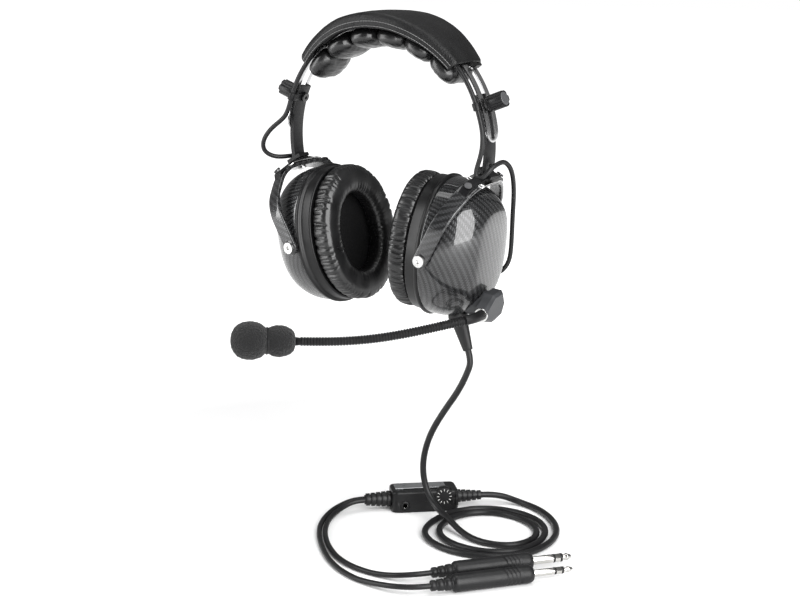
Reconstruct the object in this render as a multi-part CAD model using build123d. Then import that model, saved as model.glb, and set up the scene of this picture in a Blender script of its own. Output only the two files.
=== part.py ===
from build123d import *
from math import cos, pi, radians, sin, sqrt, tan
import os

# Aviation headset: sprung headband, two tilting ear cups, boom microphone, cords and twin plugs.
# Millimetres. X runs from ear to ear with the wearer's left at +X, the wearer faces -Y, and Z is up.
# The origin is the underside of the head pad at its middle, where the headset rests on the head.
# The left-hand pieces are modelled, and the right-hand ones are their mirror image in the YZ plane.

# --- Headband arch: every curved piece of it shares one centre, so an arm slides round that centre ---
ARCH_CENTRE_Z = -76.6
SPRING_IN, SPRING_OUT = 95.75, 97.05
SPRING_WIDTH = 17.0
SPRING_END = 82.4            # degrees from the top to the centre of each rounded end
SLOT_WIDTH = 5.6
SLOT_START, SLOT_END = 52.0, 84.2
COVER_SPAN = 49.0            # degrees each side of the top
COVER_IN = 97.4
COVER_PLAN = [(25.0, 29.5), (60.0, 23.0), (92.0, 14.5)]   # x and half width, seen from above
CROWN_RADIUS, CROWN_CENTRE_Z = 95.0, -68.0               # outer surface, thinner towards its ends
CROWN_DROP = 4.0             # how far the crown's edges lie below its middle
SKIRT = 3.0
PAD_TOP, PAD_BOTTOM = 92.0, 76.6
PAD_HALF_WIDTH = 26.0
PAD_LOBES = 6
LOBE_STEP = 17.6             # degrees from one lobe to the next

# --- Slider arms ---
ARM_IN, ARM_OUT = 92.0, 95.3
ARM_TOP, ARM_BOTTOM = 64.3, 101.5
ARM_WIDTH = 13.0
CLAMP_ANGLE = 70.0
SCREW_RADIUS = 2.0
KNOB_RADIUS, KNOB_START, KNOB_END = 6.6, 97.6, 113.5
LEAD_RADIUS = 1.9            # lead from one cup to the other
LEAD_ARC, LEAD_Y = 94.6, -12.2
LEAD_BAND_SPAN, LEAD_ARM_START, LEAD_ARM_END = 36.0, 44.0, 73.0

# --- Stirrups: a strap bent to a U, in a plane that leans outwards ---
PIVOT_X, PIVOT_Z = 57.0, -158.9
STIRRUP_LEAN = 29.4
STIRRUP_HALF = 49.0
STIRRUP_HEIGHT = 65.0
STRAP, STRAP_WIDTH = 3.0, 9.0
SHOULDER = 34.0              # radius of the bend at each shoulder
CORNER = 26.5                # how far each shoulder reaches along its leg, at the strap's middle line
SWIVEL_REST = {"l": 6.0, "r": 9.0}
PIN_RADIUS = 2.5
RUNNING = 0.05               # radial clearance of a turning fit

# --- Ear cups, in their own frame: x outwards, y to the back, z up, origin on the tilt axis ---
CUP_TILT_REST = 8.5
CUP_Z = 2.6
FACE_X, SEAL_BACK_X = -35.5, -17.0
SEAL_HALF = (41.0, 54.5)
EAR_HOLE_HALF = (22.5, 36.0)
RIM_HALF = (42.0, 55.0)
PLATE_X, SHELL_X = -7.0, -4.0
SHELL_SECTIONS = [(-4.0, 45.5, 55.5), (9.0, 45.5, 55.5), (26.0, 38.0, 48.5), (37.5, 25.0, 35.0)]
SHELL_WALL = 2.2

# --- Boom ---
BOOM_Y, BOOM_Z = -4.0, -36.0
BOOM_HUB_RADIUS = 12.0
BOOM_TUBE_RADIUS, GOOSENECK_RADIUS = 4.0, 3.2
BOOM_ROUTE = [(45.2, -18.5, -39.0), (45.2, -33.0, -39.0), (35.5, -53.0, -41.0), (20.5, -73.5, -45.5),
              (-1.5, -99.5, -51.3), (-25.5, -123.5, -54.0), (-50.7, -143.9, -54.7)]
SMALL_LOBE, LARGE_LOBE = (9.5, 11.6), (31.5, 14.0)       # place along the boom, and radius
MUFF_WAIST, CAPSULE_RADIUS, CAPSULE_LENGTH = 9.6, 5.0, 32.0

# --- Strain relief under the left cup, in the cup's frame ---
GLAND_BASE, GLAND_TIP = (17.0, -6.0, -49.5), (31.0, -8.8, -75.2)

# --- Cords, control box and plugs, which lie on the surface below the headset ---
FLOOR_Z = -389.0
CORD_RADIUS, PLUG_CORD_RADIUS = 2.6, 2.1
BOX_CENTRE, BOX_TURN = (13.0, 31.0), 42.0
BOX_SIZE = (56.0, 27.0, 18.0)
BOX_AXIS = 8.6               # height of the boots' axis
BOX_SPLIT = 9.0
BOOT_STEP, BOOT_RINGS = 4.4, 5
JACK_RADIUS = 1.8
JACK_PLACE = (-17.5, -11.0, 6.0)
DIAL_RADIUS, DIAL_WIDTH = 7.6, 4.6
DIAL_PLACE = (15.5, -9.4, 13.0)
LABEL = (29.4, 13.0)
PLUG_TURN = 53.0
PHONES_PLUG_RADIUS, MIC_PLUG_RADIUS = 3.175, 2.615
PLUG_HANDLE_RADIUS = 6.8
SHAFT_LENGTH, HANDLE_LENGTH, PLUG_BOOT_LENGTH = 33.0, 64.0, 17.0
PHONES_PLUG_AT, MIC_PLUG_AT = (117.0, -116.5), (131.5, -140.5)

# Routes: a point with two numbers lies on the surface, the others have a height of their own.
MAIN_ROUTE = [(78.0, -4.5, -256.0), (69.0, -4.0, -273.0), (53.5, -2.0, -293.0), (39.0, 1.0, -314.0),
              (30.5, 4.0, -335.0), (28.5, 6.5, -353.0), (33.0, 7.5, -368.0), (44.0, 4.5, -378.0),
              (59.0, -4.0, -380.0), (77.0, -15.0, -384.5), (96.0, -24.0), (115.0, -26.0), (130.0, -19.0),
              (136.0, -3.0), (132.0, 17.0), (118.5, 34.0), (99.0, 44.0), (79.0, 46.0), (62.5, 38.0),
              (54.0, 22.0), (53.0, 1.0), (61.0, -21.0), (77.0, -37.0), (98.0, -45.0), (120.0, -44.0),
              (137.0, -32.0), (144.0, -12.0), (141.0, 11.0), (131.0, 32.0), (114.0, 48.0), (92.0, 56.0),
              (69.0, 54.0), (52.0, 41.0), (44.0, 21.0), (44.0, -3.0), (51.0, -27.0), (67.0, -45.0),
              (90.0, -56.0), (114.0, -57.0), (136.0, -47.0), (149.0, -28.0), (152.0, -4.0), (147.0, 20.0),
              (136.0, 41.0), (119.0, 60.0), (99.0, 74.0), (78.0, 81.0)]
PHONES_ROUTE = [(-34.0, -25.0, -384.5), (-31.5, -42.0), (-21.0, -62.5), (-5.0, -84.5), (14.0, -104.0),
                (34.0, -119.5), (57.0, -129.5), (81.0, -131.5)]
MIC_ROUTE = [(-39.4, -24.5, -384.5), (-36.0, -43.5), (-25.0, -65.5), (-8.5, -88.0), (10.5, -108.5),
             (30.0, -126.5), (53.0, -141.5), (78.0, -150.5)]

# --- Lead between the cups, beyond each clip ---
LEAD_ON_ARM = {"l": [(95.3, -12.2, -64.5), (94.0, -12.2, -80.0), (89.5, -12.2, -91.0), (90.0, -12.0, -95.4),
                     (95.6, -11.5, -97.5), (99.5, -9.0, -92.0), (101.5, -1.0, -88.5)],
               "r": [(95.0, -12.2, -62.0), (106.0, -15.0, -69.0), (116.0, -16.5, -80.0), (119.0, -14.0, -91.0),
                     (113.0, -5.0, -97.0), (105.0, 4.0, -96.0)]}
LEAD_ON_STIRRUP = {"l": [(101.9, 0.5, -87.9), (103.3, 6.3, -86.5), (105.0, 14.0, -93.0), (102.5, 22.0, -104.0),
                         (96.0, 34.0, -118.0), (88.5, 45.0, -134.0), (84.0, 51.5, -149.0)],
                   "r": [(102.9, 6.4, -95.7), (97.7, 12.3, -95.1), (94.0, 22.0, -101.0), (91.0, 33.0, -112.0),
                         (87.5, 43.0, -126.0), (84.5, 50.0, -141.0), (83.5, 53.0, -152.0)]}
LEAD_ON_CUP = [(31.0, 51.8, -5.0), (30.5, 51.0, -16.5), (24.5, 48.5, -26.0), (15.0, 44.0, -27.5), (7.0,
    36.0, -25.7)]


def save(name, *shapes):
    """Write one node; several separate pieces share a node only where they are identical."""
    shape = shapes[0] if len(shapes) == 1 else Compound(children=list(shapes))
    shape.label = name
    export_step(shape, f"parts/{name}.step")


def on_side(shape, side):
    return shape if side == "l" else mirror(shape, about=Plane.YZ)


def single(shape):
    """The one solid that a piece is made of."""
    solids = shape.solids()
    assert len(solids) == 1, f"{len(solids)} solids"
    return solids[0]


# ---------------------------------------------------------------- arch helpers
def arch_point(radius, angle, y=0.0):
    a = radians(angle)
    return Vector(radius * sin(a), y, ARCH_CENTRE_Z + radius * cos(a))


def arc_bar(r_in, r_out, start, end, width, y=0.0):
    """A bar bent round the arch centre between two angles."""
    middle = (start + end) / 2
    outer = ThreePointArc(arch_point(r_out, start), arch_point(r_out, middle), arch_point(r_out, end))
    inner = ThreePointArc(arch_point(r_in, end), arch_point(r_in, middle), arch_point(r_in, start))
    sides = [Line(outer @ 1, inner @ 0), Line(inner @ 1, outer @ 0)]
    face = make_face([outer, sides[0], inner, sides[1]])
    bar = extrude(face, amount=width / 2, dir=(0, 1, 0), both=True)
    return Pos(0, y, 0) * bar


def radial_rod(r_start, r_end, angle, radius, y=0.0):
    """A round rod that points away from the arch centre."""
    a = radians(angle)
    plane = Plane(origin=arch_point(r_start, angle, y), z_dir=(sin(a), 0, cos(a)))
    return plane * upright(radius, 0, r_end - r_start)


def upright(radius, start, end):
    """A cylinder along Z between two heights."""
    return Pos(0, 0, start) * Cylinder(radius, end - start, align=(Align.CENTER, Align.CENTER, Align.MIN))


def along(start, end, radius):
    """A cylinder along X between two places."""
    return Rot(0, 90, 0) * upright(radius, start, end)


def rod(start, end, radius):
    start, end = Vector(*start), Vector(*end)
    return Plane(origin=start, z_dir=end - start) * upright(radius, 0, (end - start).length)


def tube_along(points, radius):
    """A cord: straight runs joined by tangent arcs as large as the runs allow."""
    points = [Vector(*p) for p in points]
    radii = []
    for a, b, c in zip(points, points[1:], points[2:]):
        before, after = b - a, c - b
        turn = radians(before.get_angle(after))
        radii.append(0.45 * min(before.length, after.length) / tan(turn / 2))
    path = FilletPolyline(*points, radius=radii)
    tube = sweep(Plane(origin=path @ 0, z_dir=path % 0) * Circle(radius), path=path)
    share = tube.volume / (pi * radius ** 2 * path.length)
    print(f"  cord {path.length:.0f} mm, volume share {share:.3f}, radii", [round(r) for r in radii])
    return tube


# ---------------------------------------------------------------- frames
def leaning_frame():
    """Origin between the pivots, x outwards across the strap, z up along the swivel pin."""
    lean = radians(STIRRUP_LEAN)
    x_dir, z_dir = (cos(lean), 0, -sin(lean)), (sin(lean), 0, cos(lean))
    return Plane(origin=(PIVOT_X, 0, PIVOT_Z), x_dir=x_dir, z_dir=z_dir).location


def stirrup_frame(side):
    return leaning_frame() * Rot(0, 0, SWIVEL_REST[side])


def cup_frame(side):
    return stirrup_frame(side) * Rot(0, CUP_TILT_REST - STIRRUP_LEAN, 0)


def across(x, z=0.0, y=0.0):
    """A sketch plane square to the cup's outward axis, with its x to the back and its y up."""
    return Plane(origin=(x, y, z), x_dir=(0, 1, 0), z_dir=(1, 0, 0))


def oval_disc(x_start, x_end, half):
    return extrude(across(x_start, CUP_Z) * Ellipse(*half), amount=x_end - x_start)


# ---------------------------------------------------------------- headband
def headband_spring():
    """A flat steel spring with a long slot near each end for the clamp screw."""
    strip = arc_bar(SPRING_IN, SPRING_OUT, -SPRING_END, SPRING_END, SPRING_WIDTH)
    for sign in (-1, 1):
        tip = arc_bar(SPRING_IN, SPRING_OUT, sign * (SPRING_END - 1), sign * (SPRING_END + 7), SPRING_WIDTH)
        strip += tip & radial_rod(SPRING_IN - 3, SPRING_OUT + 3, sign * SPRING_END, SPRING_WIDTH / 2)
        strip -= arc_bar(SPRING_IN - 3, SPRING_OUT + 3, sign * SLOT_START, sign * SLOT_END, SLOT_WIDTH)
        for end in (SLOT_START, SLOT_END):
            strip -= radial_rod(SPRING_IN - 3, SPRING_OUT + 3, sign * end, SLOT_WIDTH / 2)
    return single(strip)


def plan_prism(inset):
    """The cover's outline seen from above, as a tall block, set in by a margin."""
    corner = [(x, half - inset) for x, half in COVER_PLAN]
    back = [(-x, y) for x, y in reversed(corner)] + corner
    front = [(-x, -y) for x, y in back]
    return extrude(Pos(0, 0, -60) * make_face(Polyline(*back, *front, close=True)), amount=120)


def headband_cover():
    """Leather cover: a domed crown over the spring, and a stitched skirt in front and behind."""
    half, crown = COVER_PLAN[0][1], CROWN_RADIUS
    dome = ThreePointArc((half, crown - CROWN_DROP), (0, crown), (-half, crown - CROWN_DROP))
    sides = Polyline((-half, crown - CROWN_DROP), (-half, 70), (half, 70), (half, crown - CROWN_DROP))
    section = Plane(origin=(0, 0, CROWN_CENTRE_Z), x_dir=(0, 1, 0), z_dir=(1, 0, 0)) * make_face([dome, sides])
    axis = Axis((0, 0, CROWN_CENTRE_Z), (0, 1, 0))
    crown_ring = revolve(section.rotate(axis, -80), axis, 160)
    body = crown_ring & arc_bar(PAD_TOP + 0.05, 110, -COVER_SPAN, COVER_SPAN, 70) & plan_prism(0)
    hollow = arc_bar(PAD_TOP - 3, COVER_IN, -80, 80, 70) & plan_prism(SKIRT)
    return single(body - hollow)


def head_pad():
    """Six stuffed lobes sewn side by side under the spring."""
    barrel_radius, overlap = 14.0, 0.3
    pad = arc_bar(PAD_TOP - 3, PAD_TOP, -COVER_SPAN + 3, COVER_SPAN - 3, PAD_HALF_WIDTH)
    for k in range(PAD_LOBES):
        from_middle = k - (PAD_LOBES - 1) / 2
        angle, reach = from_middle * LOBE_STEP, LOBE_STEP / 2 + overlap
        half = PAD_HALF_WIDTH - 1.8 * abs(from_middle) ** 1.5
        lobe = arc_bar(PAD_BOTTOM, PAD_TOP, angle - reach, angle + reach, 2 * half)
        centre = PAD_BOTTOM + barrel_radius
        pad += lobe & rod(arch_point(centre, angle, -half), arch_point(centre, angle, half), barrel_radius)
    return single(pad)


def cover_tab():
    """A moulded hook that ends the cover's zip, at the left end of the headband."""
    tab = arc_bar(98.0, 99.4, COVER_SPAN, COVER_SPAN + 3.2, 8.0, 5.0)
    tab += arc_bar(98.0, 102.4, COVER_SPAN + 2.0, COVER_SPAN + 3.2, 8.0, 5.0)
    return single(tab)


def lead_arc(start, end):
    return ThreePointArc(arch_point(LEAD_ARC, start, LEAD_Y), arch_point(LEAD_ARC, (start + end) / 2, LEAD_Y),
                         arch_point(LEAD_ARC, end, LEAD_Y))


def lead_under_cover():
    """The middle of the lead between the cups, inside the cover."""
    arc = lead_arc(-LEAD_BAND_SPAN, LEAD_BAND_SPAN)
    return sweep(Plane(origin=arc @ 0, z_dir=arc % 0) * Circle(LEAD_RADIUS), path=arc)


# ---------------------------------------------------------------- slider arm
def slider_arm():
    """A curved steel strip that slides on the spring, ending in a foot square to the swivel axis."""
    arm = arc_bar(ARM_IN, ARM_OUT, ARM_TOP, ARM_BOTTOM, ARM_WIDTH)
    arm -= radial_rod(ARM_IN - 2, ARM_OUT + 2, CLAMP_ANGLE, SCREW_RADIUS + 0.1)
    foot_bottom, foot_top = 70.6, 73.4
    foot = Pos(0, 0, (foot_bottom + foot_top) / 2) * Box(14, ARM_WIDTH, foot_top - foot_bottom)
    pin_hole = upright(PIN_RADIUS + 0.02, foot_bottom - 6, foot_top + 6)
    return single(arm + leaning_frame() * foot - leaning_frame() * pin_hole)


def clamp_screw():
    """Button-head screw through the arm and the spring's slot into the knob."""
    under_head = ARM_IN - 1.0
    screw = radial_rod(under_head, KNOB_END - 4, CLAMP_ANGLE, SCREW_RADIUS)
    screw += radial_rod(under_head - 2.2, under_head, CLAMP_ANGLE, 3.9)
    a = radians(CLAMP_ANGLE)
    socket_plane = Plane(origin=arch_point(under_head - 2.3, CLAMP_ANGLE), z_dir=(sin(a), 0, cos(a)))
    return single(screw - socket_plane * extrude(RegularPolygon(1.5, 6), amount=1.5))


def clamp_knob():
    """Fluted knob with a thin pressure collar against the spring."""
    knob = radial_rod(KNOB_START + 1.8, KNOB_END, CLAMP_ANGLE, KNOB_RADIUS)
    a = radians(CLAMP_ANGLE)
    frame = Plane(origin=arch_point(KNOB_START, CLAMP_ANGLE), x_dir=(0, 1, 0), z_dir=(sin(a), 0, cos(a)))
    for k in range(6):
        flute = upright(1.7, 4.2, 24)
        knob -= frame * Rot(0, 0, 60 * k + 30) * Pos(KNOB_RADIUS + 0.7, 0, 0) * flute
    knob += radial_rod(KNOB_START, KNOB_START + 1.8, CLAMP_ANGLE, 5.6)
    knob -= radial_rod(KNOB_START - 1, KNOB_END - 3.5, CLAMP_ANGLE, SCREW_RADIUS + RUNNING)
    return single(knob)


def cable_clip():
    """P-clip held under the clamp screw's head, with its loop round the lead."""
    at = arch_point(LEAD_ARC, CLAMP_ANGLE, LEAD_Y)
    a = radians(CLAMP_ANGLE)
    frame = Plane(origin=at, x_dir=(0, 1, 0), z_dir=(cos(a), 0, -sin(a)))
    loop = Cylinder(LEAD_RADIUS + 1.0, 6) - Cylinder(LEAD_RADIUS + 0.1, 8)
    clip = frame * loop
    tail = arc_bar(ARM_IN - 0.8, ARM_IN - 0.03, CLAMP_ANGLE - 1.8, CLAMP_ANGLE + 1.8, 16.4, LEAD_Y + 7.6)
    tail -= frame * Cylinder(LEAD_RADIUS + 0.1, 12)
    tail -= radial_rod(ARM_IN - 3, ARM_IN + 3, CLAMP_ANGLE, SCREW_RADIUS + 0.1)
    return single(clip + tail)


def swivel_pin():
    """Shouldered pin: fixed in the arm's foot, the stirrup turns on it."""
    pin = upright(PIN_RADIUS, 61.8, 73.3) + upright(3.6, 61.8, 63.0)
    return single(leaning_frame() * pin)


# ---------------------------------------------------------------- stirrup
def u_profile(grow):
    """The filled outline of the stirrup's U in its own plane, grown or shrunk from its middle line."""
    half, top, corner = STIRRUP_HALF + grow, STIRRUP_HEIGHT + grow, CORNER + (2 - sqrt(2)) * grow
    points = [(-half, 0), (-half, top - corner), (-half + corner, top),
              (half - corner, top), (half, top - corner), (half, 0)]
    outline = FilletPolyline(*points, radius=[SHOULDER + grow] * 4)
    face = make_face([*outline.edges(), Line((half, 0), (-half, 0))])
    return Plane.YZ * face


def stirrup_solid(face, width):
    return extrude(face, amount=width / 2, both=True)


def stirrup():
    """Carbon strap bent to a U, with a round ear at each end for the pivot screw."""
    ring = stirrup_solid(u_profile(STRAP / 2), STRAP_WIDTH) - stirrup_solid(u_profile(-STRAP / 2),
        STRAP_WIDTH + 4)
    for sign in (-1, 1):
        ear = Pos(0, sign * STIRRUP_HALF, 0) * Rot(90, 0, 0) * Cylinder(6.0, STRAP)
        ring += ear
    ring -= Rot(90, 0, 0) * Cylinder(PIN_RADIUS + 0.02, 140)
    ring -= Pos(0, 0, STIRRUP_HEIGHT) * Cylinder(PIN_RADIUS + RUNNING, 14)
    for hole in rivet_rods(1.65, 28, 40):
        ring -= hole
    return single(ring)


def rivet_rods(radius, start, end):
    """Round rods square to the strap's shoulders, measured from the shoulder's centre of curvature."""
    rods, a = [], radians(30)
    centre_y, centre_z = STIRRUP_HALF - CORNER - SHOULDER * tan(radians(22.5)), STIRRUP_HEIGHT - SHOULDER
    for sign in (-1, 1):
        direction = Vector(0, sign * sin(a), cos(a))
        base = Vector(0, sign * centre_y, centre_z)
        rods.append(rod(base + direction * start, base + direction * end, radius))
    return rods


def stirrup_bridge():
    """Bent steel bridge over the stirrup's crown, with a spacer block under the swivel."""
    outer = Polyline((-32, 57), (-29.5, 63.4), (-9, 70.2), (9, 70.2), (29.5, 63.4), (32, 57), close=True)
    inner = Polyline((-31, 52), (-28.6, 61.6), (-8.6, 68.4), (8.6, 68.4), (28.6, 61.6), (31, 52), close=True)
    legs = stirrup_solid(Plane.YZ * make_face(outer), 8.0) - stirrup_solid(Plane.YZ * make_face(inner), 12.0)
    block = Pos(0, 0, 67.5) * Box(8.0, 10.0, 5.0)
    bridge = legs + block - stirrup_solid(u_profile(STRAP / 2), 30)
    bridge -= Pos(0, 0, STIRRUP_HEIGHT) * Cylinder(PIN_RADIUS + RUNNING, 30)
    for hole in rivet_rods(1.65, 28, 42):
        bridge -= hole
    return max(bridge.solids(), key=lambda s: s.volume)


def stirrup_rivets():
    shoulder = SHOULDER + STRAP / 2
    rivets = []
    for shank, head, tail in zip(rivet_rods(1.6, shoulder - STRAP - 0.3, shoulder + 4.0),
                                 rivet_rods(3.0, shoulder + 3.4, shoulder + 4.8),
                                 rivet_rods(2.6, shoulder - STRAP - 1.0, shoulder - STRAP - 0.2)):
        rivets.append(single(shank + head + tail))
    return rivets


def pivot_screws():
    """Two shoulder screws: fixed in the stirrup's ears, they turn in the cup's bosses."""
    screws = []
    for sign in (-1, 1):
        shank_start, shank_end = STIRRUP_HALF - 9.5, STIRRUP_HALF + STRAP / 2 + 0.1
        screw = rod((0, sign * shank_start, 0), (0, sign * shank_end, 0), PIN_RADIUS)
        screw += rod((0, sign * shank_end, 0), (0, sign * (shank_end + 2.2), 0), 4.6)
        socket = rod((0, sign * (shank_end + 1.0), 0), (0, sign * (shank_end + 3), 0), 1.7)
        screws.append(single(screw - socket))
    return screws


# ---------------------------------------------------------------- ear cup
def shell_loft(shrink, extra=0.0):
    """The bulged outside of the shell, or the same form inside its wall."""
    faces = []
    for k, (x, half_y, half_z) in enumerate(SHELL_SECTIONS):
        last = k == len(SHELL_SECTIONS) - 1
        x = x - (extra if k == 0 else 0) - (shrink if last else 0)
        faces.append(across(x, CUP_Z) * Ellipse(half_y - shrink, half_z - shrink))
    return loft(faces)


def cup_shell(side):
    """Carbon-fibre shell with a boss inside for each pivot screw."""
    shell = shell_loft(0) - shell_loft(SHELL_WALL, 1.0)
    for sign in (-1, 1):
        boss = rod((0, sign * 37, 0), (0, sign * 45.0, 0), 4.6)
        shell += boss & oval_disc(SHELL_X + 0.2, 9, (45.5, 55.5))
        shell -= rod((0, sign * 34, 0), (0, sign * 50, 0), PIN_RADIUS + RUNNING)
    if side == "l":
        shell -= gland_frame() * upright(4.6, -8, 4)
        shell -= rod((24, BOOM_Y, BOOM_Z), (60, BOOM_Y, BOOM_Z), 4.1)
    return single(shell - rod(LEAD_ON_CUP[-2], LEAD_ON_CUP[-1], LEAD_RADIUS + 0.3))


def gland_frame():
    """Origin where the strain relief leaves the shell, z towards its tip."""
    base = Vector(*GLAND_BASE)
    return Plane(origin=base, z_dir=Vector(*GLAND_TIP) - base).location


def seal_flange():
    """Plate that closes the shell, with a raised rim that the ear seal stretches over."""
    plate = oval_disc(PLATE_X, SHELL_X - 0.02, (45.0, 55.0))
    rim = oval_disc(SEAL_BACK_X + 0.3, PLATE_X, RIM_HALF)
    rim -= oval_disc(SEAL_BACK_X, PLATE_X, (RIM_HALF[0] - 2.5, RIM_HALF[1] - 2.5))
    flange = plate + rim
    return single(flange - Pos(0, 0, CUP_Z) * along(PLATE_X - 1, SHELL_X + 1, 17.0))


def ear_seal():
    """Soft oval ring, plump at its edges."""
    ring = oval_disc(FACE_X, SEAL_BACK_X, SEAL_HALF) - oval_disc(FACE_X - 1, SEAL_BACK_X + 1, EAR_HOLE_HALF)
    outer = ring.edges().sort_by(SortBy.LENGTH)[-2:]
    return single(fillet(outer, 6.0))


def cup_foam():
    """Acoustic foam behind the ear hole."""
    return single(oval_disc(-14.5, PLATE_X - 0.3, (RIM_HALF[0] - 3.0, RIM_HALF[1] - 3.0)))


def speaker():
    """Loudspeaker behind the plate: a frame with a magnet at its back."""
    body = along(SHELL_X + 0.1, SHELL_X + 7.1, 20.0) + along(PLATE_X + 0.2, SHELL_X + 1, 16.6)
    return single(Pos(0, 0, CUP_Z) * (body + along(SHELL_X + 7.0, SHELL_X + 13.0, 11.0)))


def cable_gland():
    """Tapered rubber strain relief where the main cord leaves the left cup."""
    length = (Vector(*GLAND_TIP) - Vector(*GLAND_BASE)).length
    flange = gland_frame() * upright(7.6, 0, 3.4)
    taper = gland_frame() * loft([Pos(0, 0, 3.4) * Circle(5.6), Pos(0, 0, length) * Circle(3.6)])
    outside = flange + taper - shell_loft(0)
    return single(outside + gland_frame() * upright(4.5, -3, 1.5))


# ---------------------------------------------------------------- boom microphone
def boom_mount():
    """Fixed base of the boom on the shell, with the pin that the boom turns on."""
    base = rod((26, BOOM_Y, BOOM_Z), (40.0, BOOM_Y, BOOM_Z), 11.0)
    base -= shell_loft(0, 2)
    neck = rod((31, BOOM_Y, BOOM_Z), (46.0, BOOM_Y, BOOM_Z), 4.0)
    return single(base + neck)


def boom_hub():
    """Turning cap of the boom: a faceted block over the pin, with a nose that holds the tube."""
    outline = [(14, 1), (8, 12), (-7, 11), (-19, 2), (-19, -8), (-4, -12), (10, -9)]
    corners = [(BOOM_Y + y, BOOM_Z + z) for y, z in outline]
    hub = extrude(across(40.4) * make_face(Polyline(*corners, close=True)), amount=9.6)
    hub = chamfer(hub.faces().sort_by(Axis.X)[-1].edges(), 2.2)
    hub -= rod((39, BOOM_Y, BOOM_Z), (46.4, BOOM_Y, BOOM_Z), 4.0 + RUNNING)
    start_x, start_y, start_z = BOOM_ROUTE[0]
    hub -= rod(BOOM_ROUTE[0], (start_x, start_y - 20, start_z), BOOM_TUBE_RADIUS + 0.02)
    return single(hub)


def boom_pieces():
    """Rigid root of the boom, and the gooseneck that goes on from it in line."""
    joint = (Vector(*BOOM_ROUTE[1]) + Vector(*BOOM_ROUTE[2])) / 2
    tube = tube_along([*BOOM_ROUTE[:2], tuple(joint)], BOOM_TUBE_RADIUS)
    return single(tube), single(tube_along([tuple(joint), *BOOM_ROUTE[2:]], GOOSENECK_RADIUS))


def muff_frame():
    """Origin at the gooseneck's end, z onwards along it."""
    end = Vector(*BOOM_ROUTE[-1])
    return Plane(origin=end, z_dir=end - Vector(*BOOM_ROUTE[-2])).location


def mic_capsule():
    return single(muff_frame() * upright(CAPSULE_RADIUS, 0.05, CAPSULE_LENGTH))


def mic_muff():
    """Foam windscreen in two lobes, drawn in between them by a band."""
    bore, bore_end = CAPSULE_RADIUS + 0.1, CAPSULE_LENGTH + 0.4
    (small_z, small_r), (large_z, large_r) = SMALL_LOBE, LARGE_LOBE
    mouth = small_z - sqrt(small_r ** 2 - bore ** 2)
    waist_start = small_z + sqrt(small_r ** 2 - MUFF_WAIST ** 2)
    waist_end = large_z - sqrt(large_r ** 2 - MUFF_WAIST ** 2)
    edges = [Line((0, bore_end), (bore, bore_end)), Line((bore, bore_end), (bore, mouth)),
             ThreePointArc((bore, mouth), (small_r, small_z), (MUFF_WAIST, waist_start)),
             Line((MUFF_WAIST, waist_start), (MUFF_WAIST, waist_end)),
             ThreePointArc((MUFF_WAIST, waist_end), (large_r, large_z), (0, large_z + large_r)),
             Line((0, large_z + large_r), (0, bore_end))]
    return single(muff_frame() * revolve(Plane.XZ * make_face(edges), Axis.Z))


def muff_band():
    middle = (SMALL_LOBE[0] + LARGE_LOBE[0]) / 2 - 1.0
    ring = upright(MUFF_WAIST + 0.9, middle - 0.9, middle + 0.9) - upright(MUFF_WAIST + 0.05, middle - 2,
        middle + 2)
    return single(muff_frame() * ring)


# ---------------------------------------------------------------- control box
def box_location():
    return Location((*BOX_CENTRE, FLOOR_Z), (0, 0, BOX_TURN))


def box_halves():
    """Two moulded halves that meet at mid height."""
    length, width, height = BOX_SIZE
    body = Pos(0, 0, height / 2 + 0.03) * Box(length, width, height - 0.06)
    body = fillet(body.edges().filter_by(Axis.Z), 5.0)
    body = fillet(body.faces().sort_by(Axis.Z)[-1].edges(), 2.0)
    body -= Pos(0, 0, height / 2 + 0.03) * Box(length - 5, width - 5, height - 5)
    body -= Pos(0, 0, BOX_AXIS) * along(-length, length, 3.6)
    body -= Pos(*DIAL_PLACE) * Rot(90, 0, 0) * Cylinder(DIAL_RADIUS + 0.5, DIAL_WIDTH + 0.8)
    body -= Pos(*JACK_PLACE) * Rot(90, 0, 0) * Cylinder(4.2, 12)
    body -= Pos(-3.0, 0, height - 0.6) * Box(LABEL[0] + 0.5, LABEL[1] + 0.5, 1.4)
    lower = body & Pos(0, 0, BOX_SPLIT - 10) * Box(200, 200, 20)
    upper = body & Pos(0, 0, BOX_SPLIT + 10.02) * Box(200, 200, 20)
    return single(lower), single(upper)


def volume_dial():
    """Thumbwheel that stands out of the box's front top edge."""
    return single(box_location() * Pos(*DIAL_PLACE) * Rot(90, 0, 0) * Cylinder(DIAL_RADIUS, DIAL_WIDTH))


def aux_jack():
    """Socket for a music player's plug, in the box's front."""
    jack = Cylinder(4.0, 5.4) - Cylinder(JACK_RADIUS, 8)
    return single(box_location() * Pos(*JACK_PLACE) * Rot(90, 0, 0) * jack)


def box_label_plate():
    """Blank bright plate set in the box's top."""
    return single(box_location() * Pos(-3.0, 0, BOX_SIZE[2] - 0.75) * Box(*LABEL, 0.9))


def box_boots():
    """Ribbed rubber boots where the cords enter the two ends of the box."""
    boots, half = [], BOX_SIZE[0] / 2
    for turn, root in ((180, 6.8), (0, 5.6)):
        boot = along(half - 4, half + BOOT_STEP, 3.5)
        for k in range(BOOT_RINGS):
            start, reach = half + 0.2 + k * BOOT_STEP, root - 0.4 * k
            boot += along(start, start + 3.2, reach) + along(start, start + BOOT_STEP, reach - 1.3)
        boots.append(single(box_location() * Rot(0, 0, turn) * Pos(0, 0, BOX_AXIS) * boot))
    return boots


def box_end(turn, out=0.0, lateral=0.0):
    """A point on a boot's axis, a stated distance beyond the boot's end."""
    reach = BOX_SIZE[0] / 2 + 0.2 + BOOT_RINGS * BOOT_STEP
    return (box_location() * Rot(0, 0, turn) * Pos(reach + out, lateral, BOX_AXIS)).position


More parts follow.
